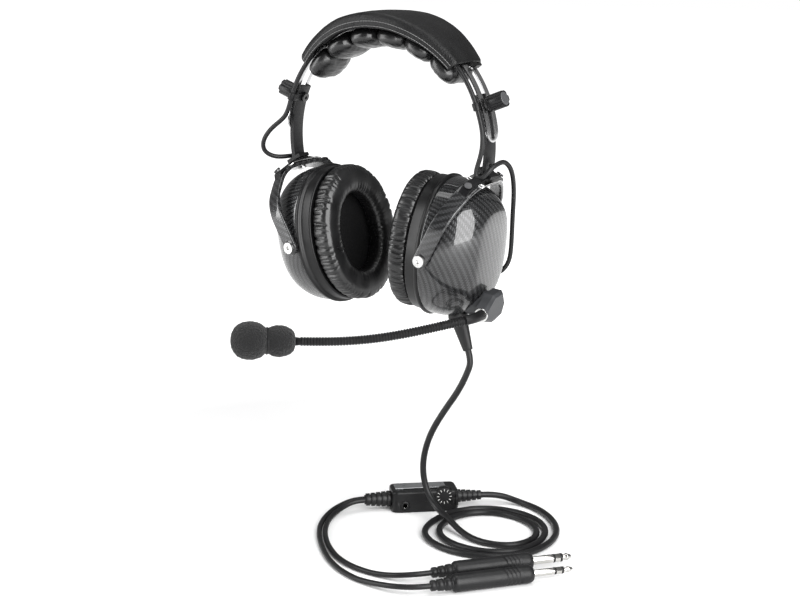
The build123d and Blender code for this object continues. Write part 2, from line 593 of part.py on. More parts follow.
# ---------------------------------------------------------------- twin plugs
def plug_location(place):
    """A plug lying on the surface: x along it towards its tip, origin where its cord enters."""
    return Location((*place, FLOOR_Z + PLUG_HANDLE_RADIUS + 0.1), (0, 0, PLUG_TURN))


def plug_handle(place):
    """Rubber boot and handle, moulded as one."""
    end = PLUG_BOOT_LENGTH + HANDLE_LENGTH
    handle = along(PLUG_BOOT_LENGTH, end, PLUG_HANDLE_RADIUS)
    handle = chamfer(handle.edges().filter_by(GeomType.CIRCLE), 1.6)
    for k in range(3):
        handle += along(5.6 * k, 5.6 * k + 4.2, 3.9 + 0.6 * k)
    handle += along(0, PLUG_BOOT_LENGTH + 2, 3.0)
    return single(plug_location(place) * (handle - along(end - 8, end + 2, 2.3)))


def plug_shaft(place, radius):
    """Turned shaft with a waisted tip."""
    end, tip = PLUG_BOOT_LENGTH + HANDLE_LENGTH, PLUG_BOOT_LENGTH + HANDLE_LENGTH + SHAFT_LENGTH
    profile = Polyline((end - 7.5, 0), (end - 7.5, 2.2), (end, 2.2), (end, radius), (tip - 8, radius),
                       (tip - 8, radius * 0.62), (tip - 6.6, radius * 0.62), (tip - 4.2, radius * 0.93),
                       (tip - 1, radius * 0.45), (tip, 0.0), close=True)
    return single(plug_location(place) * revolve(make_face(profile), Axis.X))


# ---------------------------------------------------------------- cords
def on_floor(points, radius):
    return [p if len(p) == 3 else (*p, FLOOR_Z + radius + 0.05) for p in points]


def main_cord():
    """From the strain relief down to the surface, twice round the loop, and into the box's right boot."""
    start = cup_frame("l") * gland_frame()
    length = (Vector(*GLAND_TIP) - Vector(*GLAND_BASE)).length
    first = [(start * Pos(0, 0, length + run)).position for run in (0, 9)]
    last = [box_end(0, 14), box_end(0)]
    return single(tube_along([*first, *on_floor(MAIN_ROUTE, CORD_RADIUS), *last], CORD_RADIUS))


def plug_cord(route, lateral, place):
    """From the box's left boot along the surface, entering its plug in line."""
    first = [box_end(180, run, lateral) for run in (0, 9)]
    last = [(plug_location(place) * Pos(run, 0, 0)).position for run in (-17, 0)]
    return single(tube_along([*first, *on_floor(route, PLUG_CORD_RADIUS), *last], PLUG_CORD_RADIUS))


def lead_on_arm(side):
    """From inside the cover, through the clip, and round the bottom of the arm."""
    points = [Vector(*p) for p in LEAD_ON_ARM[side]]
    arc = lead_arc(LEAD_ARM_START, LEAD_ARM_END)
    held = sweep(Plane(origin=arc @ 0, z_dir=arc % 0) * Circle(LEAD_RADIUS), path=arc)
    free = tube_along([arc @ 1, (arc @ 1) + (arc % 1) * 7, *points], LEAD_RADIUS)
    return single(held + free)


# ---------------------------------------------------------------- every node
def build():
    os.makedirs("parts", exist_ok=True)
    save("headband_spring", headband_spring())
    save("headband_cover", headband_cover())
    save("head_pad", head_pad())
    save("cover_tab", cover_tab())
    save("lead_band", single(lead_under_cover()))
    for side in ("l", "r"):
        stirrup_at, cup_at = stirrup_frame(side), cup_frame(side)
        pieces = {"slider_arm": slider_arm(), "clamp_screw": clamp_screw(), "cable_clip": cable_clip(),
                  "swivel_pin": swivel_pin(), "clamp_knob": clamp_knob(), "lead_arm": lead_on_arm(side),
                  "stirrup": stirrup_at * stirrup(), "stirrup_bridge": stirrup_at * stirrup_bridge(),
                  "lead_stirrup": single(tube_along(LEAD_ON_STIRRUP[side], LEAD_RADIUS)),
                  "cup_shell": cup_at * cup_shell(side), "seal_flange": cup_at * seal_flange(),
                  "ear_seal": cup_at * ear_seal(), "cup_foam": cup_at * cup_foam(),
                  "speaker": cup_at * speaker(),
                  "lead_cup": cup_at * single(tube_along(LEAD_ON_CUP, LEAD_RADIUS))}
        for name, piece in pieces.items():
            save(f"{name}_{side}", on_side(piece, side))
        for name, pair in (("stirrup_rivets", stirrup_rivets()), ("pivot_screws", pivot_screws())):
            save(f"{name}_{side}", *[on_side(stirrup_at * piece, side) for piece in pair])
    tube, gooseneck = boom_pieces()
    on_left_cup = {"cable_gland": cable_gland(), "boom_mount": boom_mount(), "boom_hub": boom_hub(),
                   "boom_tube": tube, "gooseneck": gooseneck, "mic_capsule": mic_capsule(),
                   "mic_muff": mic_muff(), "muff_band": muff_band()}
    for name, piece in on_left_cup.items():
        save(name, cup_frame("l") * piece)
    lower, upper = box_halves()
    save("box_lower", box_location() * lower)
    save("box_upper", box_location() * upper)
    save("volume_dial", volume_dial())
    save("aux_jack", aux_jack())
    save("box_label_plate", box_label_plate())
    save("box_boots", *box_boots())
    for name, at, radius in (("phones_plug", PHONES_PLUG_AT, PHONES_PLUG_RADIUS),
                             ("mic_plug", MIC_PLUG_AT, MIC_PLUG_RADIUS)):
        save(f"{name}_handle", plug_handle(at))
        save(f"{name}_shaft", plug_shaft(at, radius))
    save("main_cord", main_cord())
    save("phones_cord", plug_cord(PHONES_ROUTE, 2.35, PHONES_PLUG_AT))
    save("mic_cord", plug_cord(MIC_ROUTE, -2.35, MIC_PLUG_AT))


build()
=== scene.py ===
# %% [markdown]
# # Aviation headset
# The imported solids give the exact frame: this file builds the finished surfaces round them.
# Everything is in metres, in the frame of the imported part: +X is the wearer's left ear, the wearer
# faces -Y, and the origin is under the middle of the head pad.

# %% Frame
import math
import bpy
import numpy as np
from mathutils import Matrix, Vector, noise


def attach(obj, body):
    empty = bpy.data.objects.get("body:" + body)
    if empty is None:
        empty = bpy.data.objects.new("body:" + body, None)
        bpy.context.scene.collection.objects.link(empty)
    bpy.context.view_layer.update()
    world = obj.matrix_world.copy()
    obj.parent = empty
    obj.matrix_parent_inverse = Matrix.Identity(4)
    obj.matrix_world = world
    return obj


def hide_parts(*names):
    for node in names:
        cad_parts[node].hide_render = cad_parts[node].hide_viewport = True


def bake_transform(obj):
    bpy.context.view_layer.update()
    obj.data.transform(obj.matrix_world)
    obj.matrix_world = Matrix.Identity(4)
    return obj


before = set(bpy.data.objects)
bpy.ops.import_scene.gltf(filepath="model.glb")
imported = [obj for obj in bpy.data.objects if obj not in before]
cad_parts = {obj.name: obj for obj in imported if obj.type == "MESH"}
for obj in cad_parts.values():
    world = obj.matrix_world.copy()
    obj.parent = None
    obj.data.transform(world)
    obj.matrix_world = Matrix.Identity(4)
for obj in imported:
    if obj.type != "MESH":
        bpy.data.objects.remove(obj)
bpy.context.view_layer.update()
print("packed nodes", len(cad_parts))
MM = 0.001

# %% [markdown]
# ## Camera
# A long lens stands level with the top of the headset and looks slightly down on the wearer's left.
# From that far away the near cup isn't swollen. A constraint could aim the camera, but a rotation
# worked out once from the line to the target has nothing to update.

# %% Camera
camera = bpy.data.objects.new("camera", bpy.data.cameras.new("camera"))
bpy.context.collection.objects.link(camera)
camera.location = (0.7993, -1.1702, 0.0737)
aim = Vector((0.03135, -0.03165, -0.1982))
camera.rotation_euler = (aim - camera.location).to_track_quat("-Z", "Y").to_euler()
camera.data.lens = 79.65
camera.data.sensor_width = 36
bpy.context.scene.camera = camera

# %% [markdown]
# ## Places
# The yoke leans outwards over its cup and is swivelled a little, and each cup tilts inwards at the
# bottom. Pieces could be modelled where they lie, but their outlines are simple only in frames of
# their own. So left-hand pieces are made in these frames, and right-hand ones are mirrored in the
# YZ plane.

# %% Frames of the yoke and the cup
ARCH_Z = -76.6
CUP_Z = 2.6
PIVOT = Vector((57.0, 0.0, -158.9))
LEAN, CUP_TILT = 29.4, 8.5
SWIVEL = {"l": 6.0, "r": 9.0}
FLOOR = -389.0
TO_METRES = Matrix.Scale(MM, 4)
TO_MM = Matrix.Scale(1000, 4)


def turn(angle, axis):
    return Matrix.Rotation(math.radians(angle), 4, axis)


def yoke_place(side):
    return TO_METRES @ Matrix.Translation(PIVOT) @ turn(LEAN, "Y") @ turn(SWIVEL[side], "Z")


def cup_place(side):
    return yoke_place(side) @ turn(CUP_TILT - LEAN, "Y")


def arch(radius, angle, y=0.0):
    a = math.radians(angle)
    return Vector((radius * math.sin(a), y, ARCH_Z + radius * math.cos(a)))


def towards(origin, direction, hint=(0, 1, 0)):
    """A place with its z along a direction and its x as near as can be to a hint."""
    z = Vector(direction).normalized()
    x = (Vector(hint) - z * Vector(hint).dot(z)).normalized()
    y = z.cross(x)
    rotation = Matrix((x, y, z)).transposed().to_4x4()
    return TO_METRES @ Matrix.Translation(Vector(origin)) @ rotation


# %% [markdown]
# ## Shader groups
# Woven carbon, leather, moulded plastic and brushed steel each have a fine relief of their own.
# Image textures could carry it, but they need files. Node groups work out masks and heights from
# coordinates instead, so several materials share them and they stay sharp close up.

# %% Node helpers
def group(name, inputs, outputs):
    tree = bpy.data.node_groups.new(name, "ShaderNodeTree")
    for socket, kind, value in inputs:
        made = tree.interface.new_socket(socket, in_out="INPUT", socket_type=kind)
        if value is not None:
            made.default_value = value
    for socket, kind in outputs:
        tree.interface.new_socket(socket, in_out="OUTPUT", socket_type=kind)
    return tree, tree.nodes.new("NodeGroupInput"), tree.nodes.new("NodeGroupOutput")


def feed(tree, socket, value):
    if isinstance(value, bpy.types.NodeSocket):
        tree.links.new(value, socket)
    elif value is not None:
        socket.default_value = value


def maths(tree, operation, *values):
    node = tree.nodes.new("ShaderNodeMath")
    node.operation = operation
    for socket, value in zip(node.inputs, values):
        feed(tree, socket, value)
    return node.outputs[0]


def noise_of(tree, vector, scale, detail=3.0, roughness=0.55):
    node = tree.nodes.new("ShaderNodeTexNoise")
    feed(tree, node.inputs["Vector"], vector)
    feed(tree, node.inputs["Scale"], scale)
    node.inputs["Detail"].default_value = detail
    node.inputs["Roughness"].default_value = roughness
    return node.outputs["Fac"]


def fade(tree, value, low, high, to_low=0.0, to_high=1.0):
    node = tree.nodes.new("ShaderNodeMapRange")
    for socket, number in zip(node.inputs, (value, low, high, to_low, to_high)):
        feed(tree, socket, number)
    return node.outputs[0]


def blend_colours(tree, share, first, second):
    node = tree.nodes.new("ShaderNodeMix")
    node.data_type = "RGBA"
    # The mix node keeps a socket for every data type; these are the colour ones.
    feed(tree, node.inputs[0], share)
    feed(tree, node.inputs[6], first)
    feed(tree, node.inputs[7], second)
    return node.outputs[2]


# %% Weave of carbon tows, two over and two under
weave, inside, out = group("Carbon weave", [("Vector", "NodeSocketVector", None),
                                            ("Tows per metre", "NodeSocketFloat", 500.0)],
                           [("Warp", "NodeSocketFloat"), ("Height", "NodeSocketFloat"),
                            ("Painted light and tone", "NodeSocketFloat")])
split = weave.nodes.new("ShaderNodeSeparateXYZ")
weave.links.new(inside.outputs["Vector"], split.inputs[0])
u = maths(weave, "MULTIPLY", split.outputs["X"], inside.outputs["Tows per metre"])
v = maths(weave, "MULTIPLY", split.outputs["Y"], inside.outputs["Tows per metre"])
step = maths(weave, "FLOORED_MODULO", maths(weave, "ADD", maths(weave, "FLOOR", u),
                                            maths(weave, "FLOOR", v)), 4.0)
warp = maths(weave, "LESS_THAN", step, 1.5)
round_u = maths(weave, "SINE", maths(weave, "MULTIPLY", maths(weave, "FRACT", u), math.pi))
round_v = maths(weave, "SINE", maths(weave, "MULTIPLY", maths(weave, "FRACT", v), math.pi))
height = maths(weave, "ADD", round_v, maths(weave, "MULTIPLY", warp,
                                            maths(weave, "SUBTRACT", round_u, round_v)))
weave.links.new(warp, out.inputs["Warp"])
weave.links.new(height, out.inputs["Height"])
# Painted sheen and shade: the warp tows are painted lighter, as if they caught the light, and the hollows
# between the tows darker; the noise varies the tone at random.
patchy = noise_of(weave, inside.outputs["Vector"], 60.0, 2.0)
painted_light_and_tone = maths(weave, "MULTIPLY", maths(weave, "ADD", maths(weave, "MULTIPLY", warp, 0.75), 0.25),
              maths(weave, "POWER", height, 0.6))
weave.links.new(maths(weave, "MULTIPLY", painted_light_and_tone, fade(weave, patchy, 0.3, 0.7, 0.7, 1.1)),
                out.inputs["Painted light and tone"])

# %% Leather grain: small plump cells with fine creases
grain, inside, out = group("Leather grain", [("Vector", "NodeSocketVector", None),
                                             ("Cells per metre", "NodeSocketFloat", 900.0)],
                           [("Height", "NodeSocketFloat"), ("Wear", "NodeSocketFloat")])
cells = grain.nodes.new("ShaderNodeTexVoronoi")
cells.feature = "F1"
grain.links.new(inside.outputs["Vector"], cells.inputs["Vector"])
grain.links.new(inside.outputs["Cells per metre"], cells.inputs["Scale"])
creases = noise_of(grain, inside.outputs["Vector"], 260.0, 4.0, 0.6)
bumps = maths(grain, "SUBTRACT", 1.0, cells.outputs["Distance"])
grain.links.new(maths(grain, "ADD", maths(grain, "MULTIPLY", bumps, 0.6),
                      maths(grain, "MULTIPLY", creases, 0.6)), out.inputs["Height"])
grain.links.new(fade(grain, noise_of(grain, inside.outputs["Vector"], 45.0, 3.0), 0.35, 0.7),
                out.inputs["Wear"])

# %% Moulded grain: the fine spark-eroded texture of plastic, powder coat and rubber
mould, inside, out = group("Moulded grain", [("Vector", "NodeSocketVector", None),
                                             ("Grains per metre", "NodeSocketFloat", 2200.0)],
                           [("Height", "NodeSocketFloat"), ("Patches", "NodeSocketFloat")])
mould.links.new(noise_of(mould, inside.outputs["Vector"], inside.outputs["Grains per metre"], 2.0,
                         0.5), out.inputs["Height"])
mould.links.new(fade(mould, noise_of(mould, inside.outputs["Vector"], 70.0, 3.0), 0.3, 0.7),
                out.inputs["Patches"])

# %% Brushing: fine lines that run along the strip
brushing, inside, out = group("Brushed lines", [("Vector", "NodeSocketVector", None)],
                              [("Height", "NodeSocketFloat"), ("Streaks", "NodeSocketFloat")])
stretch = brushing.nodes.new("ShaderNodeVectorMath")
stretch.operation = "MULTIPLY"
stretch.inputs[1].default_value = (25.0, 2600.0, 25.0)
brushing.links.new(inside.outputs["Vector"], stretch.inputs[0])
lines = noise_of(brushing, stretch.outputs[0], 1.0, 3.0)
brushing.links.new(lines, out.inputs["Height"])
brushing.links.new(fade(brushing, lines, 0.35, 0.65), out.inputs["Streaks"])
print("shader groups", [g.name for g in bpy.data.node_groups])

# %% [markdown]
# ## Materials
# No real surface has one even colour and gloss. Each material could be a tree of its own, but they
# differ only in numbers, so one helper builds them all: a mask from a shared group drives colour
# and roughness, and its height drives the bump. The carbon has a clear coat, like the lacquer over
# real carbon cloth.

# %% Material helper
def material(name, base, rough, shared, places, bump=0.2, distance=0.0002, metal=0.0, coat=0.0,
             coat_rough=0.03, use_uv=False, second=None, rough_to=None, numbers=None, sheen=0.0,
             specular=0.5):
    """A Principled surface whose colour, roughness and normal follow one shared group."""
    made = bpy.data.materials.new(name)
    made.use_nodes = True
    tree = made.node_tree
    surface = tree.nodes["Principled BSDF"]
    where = tree.nodes.new("ShaderNodeTexCoord")
    node = tree.nodes.new("ShaderNodeGroup")
    node.node_tree = shared
    tree.links.new(where.outputs["UV" if use_uv else "Object"], node.inputs["Vector"])
    for socket, value in (numbers or {}).items():
        node.inputs[socket].default_value = value
    mask = node.outputs[places]
    colour = blend_colours(tree, mask, (*base, 1.0), (*(second or base), 1.0))
    tree.links.new(colour, surface.inputs["Base Color"])
    tree.links.new(fade(tree, mask, 0.0, 1.0, rough, rough if rough_to is None else rough_to),
                   surface.inputs["Roughness"])
    relief = tree.nodes.new("ShaderNodeBump")
    relief.inputs["Strength"].default_value = bump
    relief.inputs["Distance"].default_value = distance
    tree.links.new(node.outputs["Height"], relief.inputs["Height"])
    tree.links.new(relief.outputs["Normal"], surface.inputs["Normal"])
    surface.inputs["Metallic"].default_value = metal
    surface.inputs["Coat Weight"].default_value = coat
    surface.inputs["Coat Roughness"].default_value = coat_rough
    surface.inputs["Sheen Weight"].default_value = sheen
    surface.inputs["Specular IOR Level"].default_value = specular
    return made


# %% Materials
# The carbon's colour follows painted sheen on the warp tows and painted shade between the tows.
carbon = material("carbon", (0.0015, 0.0015, 0.0017), 0.30, weave, "Painted light and tone", 0.35, 0.0003, metal=0.4,
                  coat=1.0, coat_rough=0.02, use_uv=True, second=(0.046, 0.047, 0.049),
                  rough_to=0.24, specular=0.2, numbers={"Tows per metre": 600.0})
leather = material("leather", (0.003, 0.003, 0.0032), 0.38, grain, "Wear", 0.6, 0.0006,
                   second=(0.007, 0.007, 0.0073), rough_to=0.52, specular=0.22)
soft_leather = material("soft_leather", (0.004, 0.004, 0.0042), 0.26, grain, "Wear", 0.12, 0.0003,
                        second=(0.008, 0.008, 0.0084), rough_to=0.36, specular=0.5)
steel = material("steel", (0.46, 0.46, 0.47), 0.18, brushing, "Streaks", 0.15, 0.00005, metal=1.0,
                 second=(0.66, 0.66, 0.66), rough_to=0.30)
bright_steel = material("bright_steel", (0.50, 0.50, 0.50), 0.14, mould, "Patches", 0.05, 0.00005,
                        metal=1.0, second=(0.64, 0.64, 0.63), rough_to=0.24)
dark_steel = material("dark_steel", (0.05, 0.05, 0.052), 0.20, mould, "Patches", 0.05, 0.00005,
                      metal=1.0, second=(0.09, 0.09, 0.09), rough_to=0.3)
nickel = material("nickel", (0.50, 0.49, 0.47), 0.10, mould, "Patches", 0.03, 0.00003, metal=1.0,
                  second=(0.66, 0.65, 0.63), rough_to=0.18)
black_metal = material("black_metal", (0.004, 0.004, 0.0045), 0.34, mould, "Patches", 0.6, 0.0002,
                       metal=0.1, second=(0.007, 0.007, 0.0074), rough_to=0.46, specular=0.25)
black_plastic = material("black_plastic", (0.004, 0.004, 0.0045), 0.32, mould, "Patches", 0.25,
                         0.00015, second=(0.006, 0.006, 0.0063), rough_to=0.44, specular=0.25)
satin_plastic = material("satin_plastic", (0.004, 0.004, 0.0042), 0.30, mould, "Patches", 0.1,
                         0.0001, second=(0.005, 0.005, 0.0053), rough_to=0.38, specular=0.28)
grey_plastic = material("grey_plastic", (0.022, 0.023, 0.025), 0.36, mould, "Patches", 0.3, 0.00015,
                        second=(0.034, 0.035, 0.038), rough_to=0.46, specular=0.4)
light_grey = material("light_grey", (0.040, 0.041, 0.043), 0.36, mould, "Patches", 0.2, 0.0001,
                      second=(0.062, 0.063, 0.066), rough_to=0.46)
rubber = material("rubber", (0.006, 0.006, 0.0065), 0.36, mould, "Patches", 0.2, 0.00015,
                  second=(0.009, 0.009, 0.0095), rough_to=0.48, specular=0.28)
label_silver = material("label_silver", (0.34, 0.35, 0.36), 0.26, mould, "Patches", 0.05, 0.00005,
                        metal=0.85, second=(0.48, 0.49, 0.50), rough_to=0.36)
white_paint = material("white_paint", (0.62, 0.62, 0.60), 0.5, mould, "Patches", 0.1, 0.00005,
                       second=(0.72, 0.72, 0.70), rough_to=0.6)
thread = material("thread", (0.09, 0.09, 0.09), 0.6, mould, "Patches", 0.3, 0.0001,
                  second=(0.15, 0.15, 0.15), rough_to=0.75)
# The foam's colour follows its grain's height: painted shade in the hollows, lighter on the tops.
foam = material("foam", (0.004, 0.004, 0.0042), 0.9, mould, "Height", 1.0, 0.0014,
                second=(0.018, 0.018, 0.0185), rough_to=1.0, numbers={"Grains per metre": 900.0},
                sheen=0.1, specular=0.2)
# The cloth's colour follows its grain's height: painted shade in the hollows.
ear_cloth = material("ear_cloth", (0.003, 0.003, 0.003), 0.85, mould, "Height", 0.8, 0.0006,
                     second=(0.010, 0.010, 0.0105), rough_to=1.0,
                     numbers={"Grains per metre": 1300.0}, specular=0.1)
print("materials", len(bpy.data.materials))

# %% [markdown]
# ## Mesh makers
# Most pieces of a headset are turned, swept, or skins over a few outlines. They could be modelled
# by
# hand in Edit Mode, but as a grid of points such a surface is short to write and easy to change.
# Where a weave needs it, the grid has a UV map in metres, so that its tows keep their real size.

# %% Mesh makers
def mesh_object(name, points, faces, surface, uvs=None, smooth=True):
    mesh = bpy.data.meshes.new(name)
    mesh.from_pydata([tuple(p) for p in points], [], faces)
    mesh.materials.append(surface)
    mesh.polygons.foreach_set("use_smooth", [smooth] * len(mesh.polygons))
    if uvs is not None:
        layer = mesh.uv_layers.new(name="metres")
        for loop in mesh.loops:
            layer.data[loop.index].uv = uvs[loop.vertex_index]
    mesh.update()
    made = bpy.data.objects.new(name, mesh)
    bpy.context.collection.objects.link(made)
    return made


def grid(name, rows, surface, ring=True, loop=False, cap_start=False, cap_end=False, uvs=None,
         smooth=True):
    """rows of points; each row closes on itself if ring, and the last row joins the first if loop."""
    rows = np.asarray(rows, float)
    count, width = rows.shape[:2]
    index = np.arange(count * width).reshape(count, width)
    faces = []
    for i in range(count if loop else count - 1):
        here, there = index[i], index[(i + 1) % count]
        for j in range(width if ring else width - 1):
            k = (j + 1) % width
            faces.append((here[j], here[k], there[k], there[j]))
    faces = [tuple(int(n) for n in f) for f in faces]
    if cap_start:
        faces.append(tuple(int(n) for n in index[0][::-1]))
    if cap_end:
        faces.append(tuple(int(n) for n in index[-1]))
    flat = None if uvs is None else np.asarray(uvs, float).reshape(-1, 2)
    return mesh_object(name, rows.reshape(-1, 3), faces, surface, flat, smooth)


def settle(made, place=None, side="l"):
    """Puts a mesh in its place, mirrors it for the right-hand side, and turns its faces outwards."""
    if place is not None:
        made.data.transform(place)
    if side == "r":
        made.data.transform(Matrix.Scale(-1, 4, (1, 0, 0)))
        made.data.flip_normals()
    made.data.update()
    return made


def face_outwards(made):
    """Flips a closed mesh whose volume comes out negative."""
    mesh = made.data
    mesh.calc_loop_triangles()
    volume = sum(mesh.vertices[t.vertices[0]].co.dot(mesh.vertices[t.vertices[1]].co.cross(mesh.vertices[t.vertices[2]].co))
                 for t in mesh.loop_triangles)
    if volume < 0:
        mesh.flip_normals()
    return made


def rings(sections, count=160):
    """Rows of points round ovals: each section is x, half y, half z, centre y, centre z and squareness."""
    rows = []
    for x, half_y, half_z, centre_y, centre_z, square in sections:
        row = []
        for k in range(count):
            a = 2 * math.pi * k / count
            c, s = math.cos(a), math.sin(a)
            row.append((x, centre_y + half_y * math.copysign(abs(c) ** (2 / square), c),
                        centre_z + half_z * math.copysign(abs(s) ** (2 / square), s)))
        rows.append(row)
    return rows


def turned(name, profile, surface, place, count=48, side="l"):
    """A turned piece: profile points are (radius, height along z)."""
    rows = [[(r * math.cos(2 * math.pi * k / count), r * math.sin(2 * math.pi * k / count), z)
             for k in range(count)] for r, z in profile]
    uvs = [[(x * MM, y * MM) for x, y, z in row] for row in rows]
    made = grid(name, rows, surface, uvs=uvs)
    made.data.set_sharp_from_angle(angle=math.radians(50))
    return settle(face_outwards(made), place, side)


def sweep(name, path, section, surface, ups=None, closed_ends=True):
    """A section drawn along a path of points; ups gives the section's second axis at each point."""
    path = [Vector(p) for p in path]
    rows, uvs, run, side_run = [], [], 0.0, [0.0]
    for a, b in zip(section, section[1:]):
        side_run.append(side_run[-1] + math.dist(a, b))
    for i, point in enumerate(path):
        ahead = (path[min(i + 1, len(path) - 1)] - path[max(i - 1, 0)]).normalized()
        up = Vector(ups[i]) if ups is not None else Vector((0, 0, 1))
        up = (up - ahead * up.dot(ahead)).normalized()
        across = ahead.cross(up)
        rows.append([tuple(point + across * a + up * b) for a, b in section])
        run += (point - path[i - 1]).length if i else 0.0
        uvs.append([(run * MM, w * MM) for w in side_run])
    made = grid(name, rows, surface, ring=True, cap_start=closed_ends, cap_end=closed_ends, uvs=uvs)
    return face_outwards(made)


def bevel(made, width=0.4, angle=35):
    weld = made.modifiers.new("weld", "WELD")
    weld.merge_threshold = 0.00001
    edge = made.modifiers.new("bevel", "BEVEL")
    edge.width = width * MM
    edge.segments = 2
    edge.limit_method = "ANGLE"
    edge.angle_limit = math.radians(angle)
    return made


def join(name, made):
    """Several meshes as one."""
    mesh_points, faces, base = [], [], 0
    for piece in made:
        mesh_points += [tuple(v.co) for v in piece.data.vertices]
        faces += [tuple(base + n for n in p.vertices) for p in piece.data.polygons]
        base += len(piece.data.vertices)
    surface = made[0].data.materials[0]
    for piece in made:
        bpy.data.objects.remove(piece)
    return mesh_object(name, mesh_points, faces, surface)


# %% [markdown]
# ## Cords
# The main cord leaves the strain relief, lies twice round its loop and enters the volume box, and
# two thinner cords run side by side to the plugs. They could be mesh tubes, but one smooth spline
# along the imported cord's route bends as a jacket does, and its length can be measured.

# %% Cord routes
MAIN_ROUTE = [(78.0, -4.5, -256.0), (69.0, -4.0, -273.0), (53.5, -2.0, -293.0), (39.0, 1.0, -314.0),
              (30.5, 4.0, -335.0), (28.5, 6.5, -353.0), (33.0, 7.5, -368.0), (44.0, 4.5, -378.0),
              (59.0, -4.0, -380.0), (77.0, -15.0, -384.5), (96.0, -24.0), (115.0, -26.0),
              (130.0, -19.0), (136.0, -3.0), (132.0, 17.0), (118.5, 34.0), (99.0, 44.0),
              (79.0, 46.0), (62.5, 38.0), (54.0, 22.0), (53.0, 1.0), (61.0, -21.0), (77.0, -37.0),
              (98.0, -45.0), (120.0, -44.0), (137.0, -32.0), (144.0, -12.0), (141.0, 11.0),
              (131.0, 32.0), (114.0, 48.0), (92.0, 56.0), (69.0, 54.0), (52.0, 41.0), (44.0, 21.0),
              (44.0, -3.0), (51.0, -27.0), (67.0, -45.0), (90.0, -56.0), (114.0, -57.0),
              (136.0, -47.0), (149.0, -28.0), (152.0, -4.0), (147.0, 20.0), (136.0, 41.0),
              (119.0, 60.0), (99.0, 74.0), (78.0, 81.0)]
PHONES_ROUTE = [(-34.0, -25.0, -384.5), (-31.5, -42.0), (-21.0, -62.5), (-5.0, -84.5),
                (14.0, -104.0), (34.0, -119.5), (57.0, -129.5), (81.0, -131.5)]
MIC_ROUTE = [(-39.4, -24.5, -384.5), (-36.0, -43.5), (-25.0, -65.5), (-8.5, -88.0), (10.5, -108.5),
             (30.0, -126.5), (53.0, -141.5), (78.0, -150.5)]
MAIN_RADIUS, PLUG_CORD_RADIUS, PAIR_OFFSET = 2.6, 2.1, 2.35
GLAND_BASE, GLAND_TIP = Vector((17.0, -6.0, -49.5)), Vector((31.0, -8.8, -75.2))
BOX_TURN, BOX_CENTRE, BOX_AXIS, BOX_HALF = 42.0, (13.0, 31.0), 8.6, 28.0
BOOT_REACH = BOX_HALF + 0.2 + 22.0
PLUG_TURN = 53.0
PLUGS = {"phones": (117.0, -116.5), "mic": (131.5, -140.5)}
box_frame = Matrix.Translation((*BOX_CENTRE, FLOOR)) @ turn(BOX_TURN, "Z")
box_place = TO_METRES @ box_frame


def plug_frame(name):
    return Matrix.Translation((*PLUGS[name], FLOOR + 6.9)) @ turn(PLUG_TURN, "Z")


def on_floor(route, radius):
    return [Vector(p if len(p) == 3 else (*p, FLOOR + radius + 0.05)) for p in route]


def spline_cord(name, points, radius, surface):
    curve = bpy.data.curves.new(name, "CURVE")
    curve.dimensions = "3D"
    # The thickness is in the points' radius: a curve's bounding box grows by that number, not by
    # the bevel.
    curve.bevel_depth = 1.0
    curve.bevel_resolution = 6
    curve.resolution_u = 10
    curve.use_fill_caps = True
    spline = curve.splines.new("NURBS")
    spline.points.add(len(points) - 1)
    for knot, point in zip(spline.points, points):
        knot.co = (*(Vector(point) * MM), 1.0)
        knot.radius = radius * MM
    spline.order_u = 3
    spline.use_endpoint_u = True
    curve.materials.append(surface)
    made = bpy.data.objects.new(name, curve)
    bpy.context.collection.objects.link(made)
    return made


def length_of(made):
    depth, made.data.bevel_depth = made.data.bevel_depth, 0.0
    line = bpy.data.meshes.new_from_object(made.evaluated_get(bpy.context.evaluated_depsgraph_get()))
    made.data.bevel_depth = depth
    points = [v.co.copy() for v in line.vertices]
    bpy.data.meshes.remove(line)
    return sum((b - a).length for a, b in zip(points, points[1:]))


# %% Main cord and plug cords
cup_mm = TO_MM @ cup_place("l")
gland_line = (GLAND_TIP - GLAND_BASE).normalized()
main_points = [cup_mm @ (GLAND_TIP + gland_line * run) for run in (0, 9)] + on_floor(MAIN_ROUTE,
                                                                                     MAIN_RADIUS)
main_points += [box_frame @ Vector((BOOT_REACH + run, 0, BOX_AXIS)) for run in (14, 0)]
main_cord = spline_cord("main_cord_jacket", main_points, MAIN_RADIUS, rubber)
plug_cords = {}
for name, route, sideways in (("phones", PHONES_ROUTE, PAIR_OFFSET),
                              ("mic", MIC_ROUTE, -PAIR_OFFSET)):
    points = [box_frame @ Vector((-BOOT_REACH - run, -sideways, BOX_AXIS))
              for run in (0, 9)] + on_floor(route, PLUG_CORD_RADIUS)
    points += [plug_frame(name) @ Vector((run, 0, 0)) for run in (-17, 0)]
    plug_cords[name] = spline_cord(f"{name}_cord_jacket", points, PLUG_CORD_RADIUS, rubber)
for made, node in ((main_cord, "main_cord"), (plug_cords["phones"], "phones_cord"),
                   (plug_cords["mic"], "mic_cord")):
    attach(made, "cup_l")
    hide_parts(node)
    print(made.name, "length", round(length_of(made), 3))

# %% [markdown]
# ## Ear cups
# Each cup is a gloss carbon shell over a black flange, with a soft pleated seal that closes round
# the
# ear. The shell could be a subdivided cube, but rows of ovals from the rim to the crown are easier
# to
# fit to an outline. A cloth simulation could fold the seal. Here narrow random valleys are pressed
# into a ring instead, which is quick and gives the same pleats in each run.

